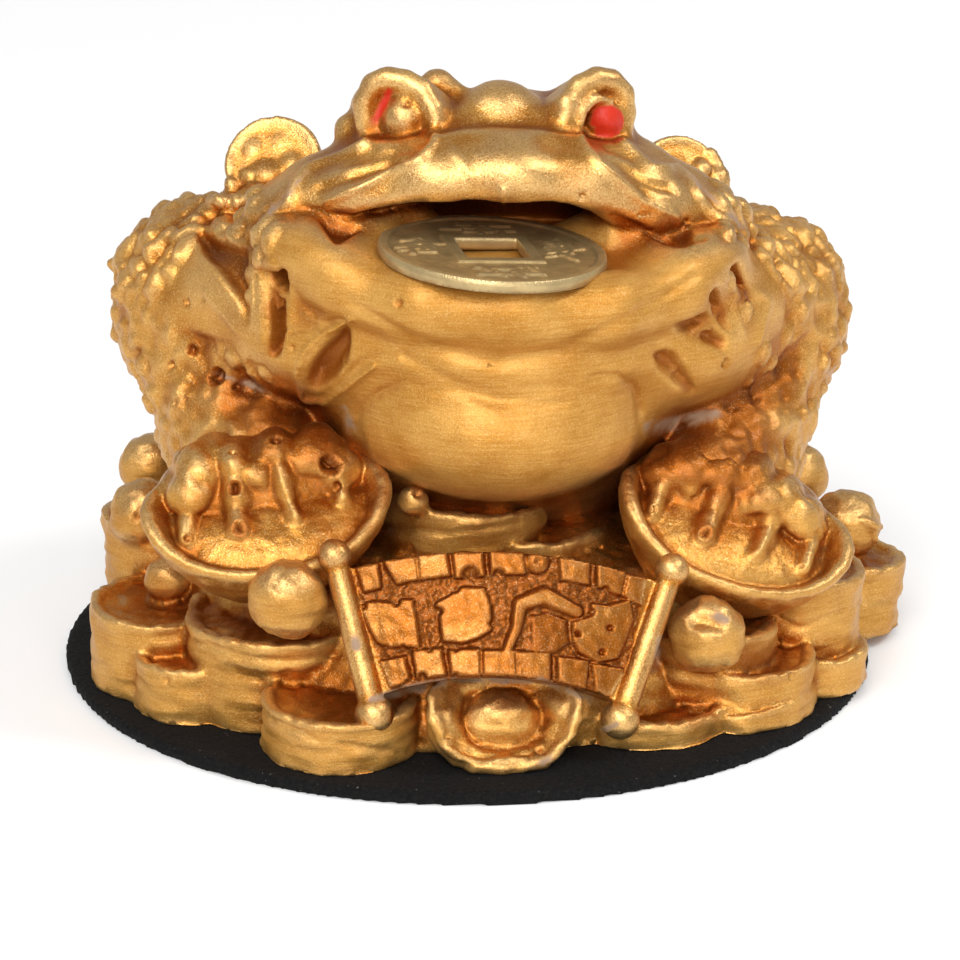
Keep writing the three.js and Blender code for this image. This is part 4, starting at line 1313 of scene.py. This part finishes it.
def makeCoinMetal():
    shader = Shader("old_brass")
    recess, crown = shader.attribute("recess"), shader.attribute("crown")
    cloud = shader.grain(420, 4)
    colour = shader.mixed(shader.band(cloud, 0.3, 0.7), paint(200, 172, 118), paint(160, 134, 90))
    colour = shader.mixed(shader.band(recess, 0.1, 0.9) * 0.7, colour, paint(84, 68, 42))
    colour = shader.mixed(shader.band(crown, 0.1, 0.9) * 0.6, colour, paint(190, 170, 126))
    rough = 0.3 + 0.25 * cloud
    relief = shader.bump(shader.grain(5200, 2), 0.35, 0.00008)
    return shader.finish(Base_Color=colour, Metallic=0.75, Roughness=rough, Normal=relief)


def makeFoam():
    shader = Shader("black_foam")
    grain = shader.grain(2600, 3, 0.7)
    colour = shader.mixed(shader.band(grain, 0.35, 0.75), paint(7, 7, 8), paint(26, 24, 23))
    speck = shader.band(shader.grain(3300, 1), 0.76, 0.8)
    colour = shader.mixed(speck * 0.6, colour, paint(132, 128, 120))
    relief = shader.bump(grain, 1.0, 0.0005)
    return shader.finish(Base_Color=colour, Roughness=0.9, Specular_IOR_Level=0.2, Normal=relief)


def store(mesh, name, values):
    made = mesh.attributes.new(name, "FLOAT", "POINT")
    made.data.foreach_set("value", values.astype(np.float32))


# Where the rust-coloured wash and painted shade under and between the parts lie on the figure, as picture
# places (px, py, radius in mm, strength)
washAndShadeSpots = [
    (225, 392, 4.5, 0.8), (262, 412, 4.5, 1.0), (300, 425, 4.0, 0.9), (185, 410, 3.0, 0.5),
    (330, 440, 3.5, 0.9), (262, 446, 3.5, 0.8), (305, 455, 3.0, 0.6), (690, 450, 4.5, 0.9),
    (740, 470, 4.5, 0.9), (700, 430, 4.5, 0.8), (760, 440, 4.0, 0.8), (775, 375, 4.0, 0.7),
    (745, 410, 4.5, 0.8), (790, 400, 2.5, 0.5), (640, 470, 3.5, 0.8), (380, 496, 2.5, 0.7),
    (400, 546, 2.5, 0.7), (480, 540, 3.0, 0.6), (560, 538, 3.5, 0.6), (610, 524, 3.5, 0.8),
    (378, 530, 2.5, 0.7), (270, 310, 1.6, 0.9), (272, 350, 1.2, 0.9), (312, 380, 1.2, 0.8),
    (720, 312, 1.2, 0.9), (742, 296, 1.2, 0.9), (685, 388, 1.0, 0.9), (340, 238, 1.2, 0.9),
    (372, 228, 1.0, 0.6), (676, 240, 1.4, 0.9), (415, 122, 1.3, 0.6), (150, 590, 4.0, 0.7),
    (190, 610, 3.0, 0.8), (250, 620, 3.0, 0.8), (340, 700, 4.5, 0.7), (690, 710, 5.0, 0.5),
    (760, 655, 4.0, 0.8), (640, 560, 2.5, 0.6), (500, 705, 3.2, 0.4), (430, 486, 5.0, 0.4),
    (500, 496, 6.0, 0.5), (570, 486, 5.0, 0.4), (190, 560, 3.0, 0.5), (340, 540, 3.5, 0.5),
    (620, 500, 3.0, 0.7), (640, 540, 3.0, 0.7), (830, 560, 2.5, 0.5), (665, 470, 4.0, 0.8),
    (715, 485, 4.5, 0.7), (768, 500, 4.0, 0.6), (705, 535, 4.5, 0.5), (790, 545, 4.0, 0.4),
    (212, 500, 4.0, 0.5), (262, 488, 4.0, 0.5), (312, 480, 4.0, 0.5), (250, 532, 4.0, 0.6),
    (320, 520, 4.0, 0.6),
]
# Places left without paint, as paths with half widths in mm
bareMarks = [
    [(648, 428, 0.8), (680, 422, 0.9), (716, 414, 0.6)],
    [(344, 408, 0.4), (352, 430, 0.6)],
    [(212, 372, 0.2), (262, 388, 0.4)],
    [(372, 700, 0.5), (408, 690, 0.6), (444, 682, 0.5)],
    [(452, 680, 0.3), (540, 680, 0.3), (590, 700, 0.4)],
    [(534, 768, 0.5), (560, 752, 0.4)],
    [(356, 646, 0.7), (352, 616, 0.4)],
    [(661, 640, 0.6), (654, 670, 0.4)],
    [(718, 617, 0.7), (726, 620, 0.5)],
    [(604, 730, 0.4), (616, 724, 0.4)],
    [(270, 212, 0.4), (312, 166, 0.3)],
    [(748, 232, 0.3), (690, 176, 0.3)],
]
paleSkin = [
    (252, 238), (300, 216), (345, 250), (378, 216), (420, 212), (500, 206), (600, 214), (645, 244),
    (690, 250), (748, 240), (744, 262), (722, 284), (735, 330), (790, 300), (766, 356), (740, 398),
    (706, 416), (650, 440), (590, 490), (500, 505), (400, 490), (345, 440), (308, 398), (240, 352),
    (177, 326), (140, 320), (150, 292), (200, 300), (250, 330), (258, 262),
]
eyeRed = [(389, 91, 0.4), (384, 104, 0.5), (375, 121, 0.3)]
rightEye = (607, 121, 1.45)  # with its radius in mm


# Rounds of smoothing for small and broad forms, the depths in mm at which they count in full, and how
# strong each part of the wash with its painted shade and of the pale skin is
tone = {
    "fineRounds": 8, "broadRounds": 70, "hollow": 0.06, "crest": 0.05, "broad": 0.5,
    "tops": 0.36, "arms": 0.5, "ground": 1.1, "slab": 0.75, "washAndShade": 0.8, "hole": 1.9, "lips": 0.8,
}


def mark(mesh, name):  # the values over the surface that the paint follows
    sculpt = Sculpt(mesh)
    # On the gilding the hollows take the wash with painted shade, and the crowns take wear with a painted
    # highlight
    fine, broad = sculpt.hollows(tone["fineRounds"]), sculpt.hollows(tone["broadRounds"]) / tone["broad"]
    recess = np.clip(fine / tone["hollow"], 0, 1) * 0.3 + np.clip(broad, 0, 1.6) * 0.85
    crown = np.clip(-fine / tone["crest"], 0, 1) * 0.6 + np.clip(-broad, 0, 1) * 0.4
    up, zero = sculpt.normal[:, 2], np.zeros(len(sculpt.place))
    front = np.clip(sculpt.facing * 5, 0, 1)
    pale, red, bare = zero, zero, zero
    if name in ("coin_heap", "left_hand", "right_hand"):
        pale = easing((np.abs(up) - 0.25) / 0.4) * (1 - np.clip(recess, 0, 1))
    if name == "coin_heap":
        # The flat tops of the low coins take the same brown
        tops = easing((0.97 - up) / 0.15) * (sculpt.place[:, 2] < 14)
        recess = np.maximum(recess * 0.7, tone["tops"] * sculpt.smooth(tops, 6))
    if name == "toad_body":
        pale = within(sculpt, paleSkin, 1.2) * front * (sculpt.place[:, 1] < 0)
        red = easing(strokeShare(sculpt, eyeRed) * 2 - 1)
        away = spotShare(sculpt, *rightEye) * rightEye[2]
        red = np.maximum(red, easing((away - rightEye[2]) / 0.12)) * front * (sculpt.place[:, 2] > 49)
        recess *= 1 - 0.5 * pale
        x, _, z = sculpt.place.T
        arms = np.clip((np.abs(x - toad["middle"]) - 18) / 3, 0, 1) * np.clip((43 - z) / 3, 0, 1)
        pale = np.maximum(pale, tone["arms"] * arms * (1 - np.clip(recess, 0, 1)))
        for _, _, strength, outline in bodyHollows:
            recess = recess + strength * within(sculpt, outline, 0.5) * front
    if name == "scroll":
        ground = (1 - np.clip(blockShare(sculpt), 0, 1)) * ~onRods(sculpt)
        recess = np.maximum(recess * 0.6, tone["ground"] * front * ground) + tone["slab"] * ~onRods(sculpt)
    for px, py, radius, strength in washAndShadeSpots:
        recess = recess + tone["washAndShade"] * strength * easing(spotShare(sculpt, px, py, radius)) * front
    # Painted shade darkens the bubble holes
    for px, py, size in bodyHoles + leftHand["holes"] + rightHand["holes"] + heapHoles:
        share = spotShare(sculpt, px, py, size / pixelsPerMm)
        recess = recess + tone["hole"] * easing(share * 1.5 - 0.5) * front
    if name == "toad_body":
        # A painted shadow under the upper lip
        for path in bodyCreases["lips"][1]:
            recess = recess + tone["lips"] * easing(strokeShare(sculpt, path)) * front
    for path in bareMarks:
        bare = np.maximum(bare, easing(strokeShare(sculpt, path) * 1.5 - 0.5) * front)
    bare = bare * np.clip(0.9 + 0.9 * lumpy(sculpt.place, 1.2, 31), 0, 1)
    for key, values in (("recess", recess), ("crown", crown), ("pale", pale)):
        store(mesh, key, sculpt.smooth(values, 3))
    store(mesh, "red", red)
    store(mesh, "bare", bare)


def addPiece(mesh, name, material, node):
    mesh.transform(inPlace)
    piece = placed(name, mesh)
    mesh.materials.clear()
    mesh.materials.append(material)
    mesh.shade_smooth()
    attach(piece, "root")
    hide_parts(node)


def keepInside(mesh, low, high):  # nothing stands past the solid's own box
    low, high = [np.array((corner - padMiddle) / mm) for corner in (low, high)]
    sculpt = Sculpt(mesh)
    sculpt.place = np.clip(sculpt.place, low, high)
    sculpt.store()


def thinned(mesh, name, most):
    triangles = sum(len(f.vertices) - 2 for f in mesh.polygons)
    if triangles <= most:
        return mesh
    return finished(mesh, name, [("DECIMATE", {"ratio": most / triangles})])


studio = {
    "world": 0.5, "floor": (0.95, 0.95, 0.95, 1.0),
    "sun": 2.2, "sunSpread": 40, "sunWay": (0.22, 0.78, -0.62),
    "lamps": {  # place, size and power
        "above_left": ((-0.24, -0.2, 0.46), 0.16, 0.4),
        "above_right": ((0.3, -0.12, 0.4), 0.12, 0.7),
        "front": ((0.14, -0.6, 0.18), 0.16, 0.5),
    },
    "lampAim": (0, 0, 0.02),
}


def addLight(data, place, way):
    light = placed(data.name, data)
    light.location = place
    light.rotation_euler = Vector(way).to_track_quat("-Z", "Y").to_euler()


def makeStudio():
    bpy.context.scene.view_settings.view_transform = "Standard"
    world = bpy.data.worlds.new("studio")
    bpy.context.scene.world = world
    world.use_nodes = True
    backdrop = world.node_tree.nodes["Background"]
    backdrop.inputs["Color"].default_value = (1.0, 1.0, 1.0, 1.0)
    backdrop.inputs["Strength"].default_value = studio["world"]
    sun = bpy.data.lights.new("sun", "SUN")
    sun.energy, sun.angle = studio["sun"], math.radians(studio["sunSpread"])
    addLight(sun, (0, 0, 0), studio["sunWay"])
    for name, (place, size, power) in studio["lamps"].items():
        lamp = bpy.data.lights.new(name, "AREA")
        lamp.size, lamp.energy = size, power
        addLight(lamp, place, Vector(studio["lampAim"]) - Vector(place))
    bm = bmesh.new()
    bmesh.ops.create_grid(bm, x_segments=2, y_segments=2, size=3.0)
    floor = placed("floor", meshOf(bm))
    floor.location.z = -0.00005
    floor.data.materials.append(Shader("pale_floor").finish(Base_Color=studio["floor"], Roughness=0.7))


makeCamera()
makeStudio()
gilding = makeGilding()
for name, make in (
    ("toad_body", makeBody),
    ("left_hand", lambda: makeHand("left_hand", ingots["left"], leftHand)),
    ("right_hand", lambda: makeHand("right_hand", ingots["right"], rightHand)),
    ("coin_heap", makeHeap),
    ("scroll", makeScroll),
):
    mesh = thinned(make(), name, mostTriangles)
    keepInside(mesh, castLow, castHigh)
    mark(mesh, name)
    addPiece(mesh, name, gilding, "toad_casting")
    print(name, len(mesh.polygons), "faces")

coinMesh = thinned(makeCoin(), "coin", mostTriangles)
keepInside(coinMesh, coinLow, coinHigh)
mark(coinMesh, "coin")
addPiece(coinMesh, "square_holed_coin", makeCoinMetal(), "loose_coin")
print("coin", len(coinMesh.polygons), "faces")

padMesh = makePad()
keepInside(padMesh, padLow, padHigh)
addPiece(padMesh, "pad", makeFoam(), "foam_pad")
print("pad", len(padMesh.polygons), "faces")
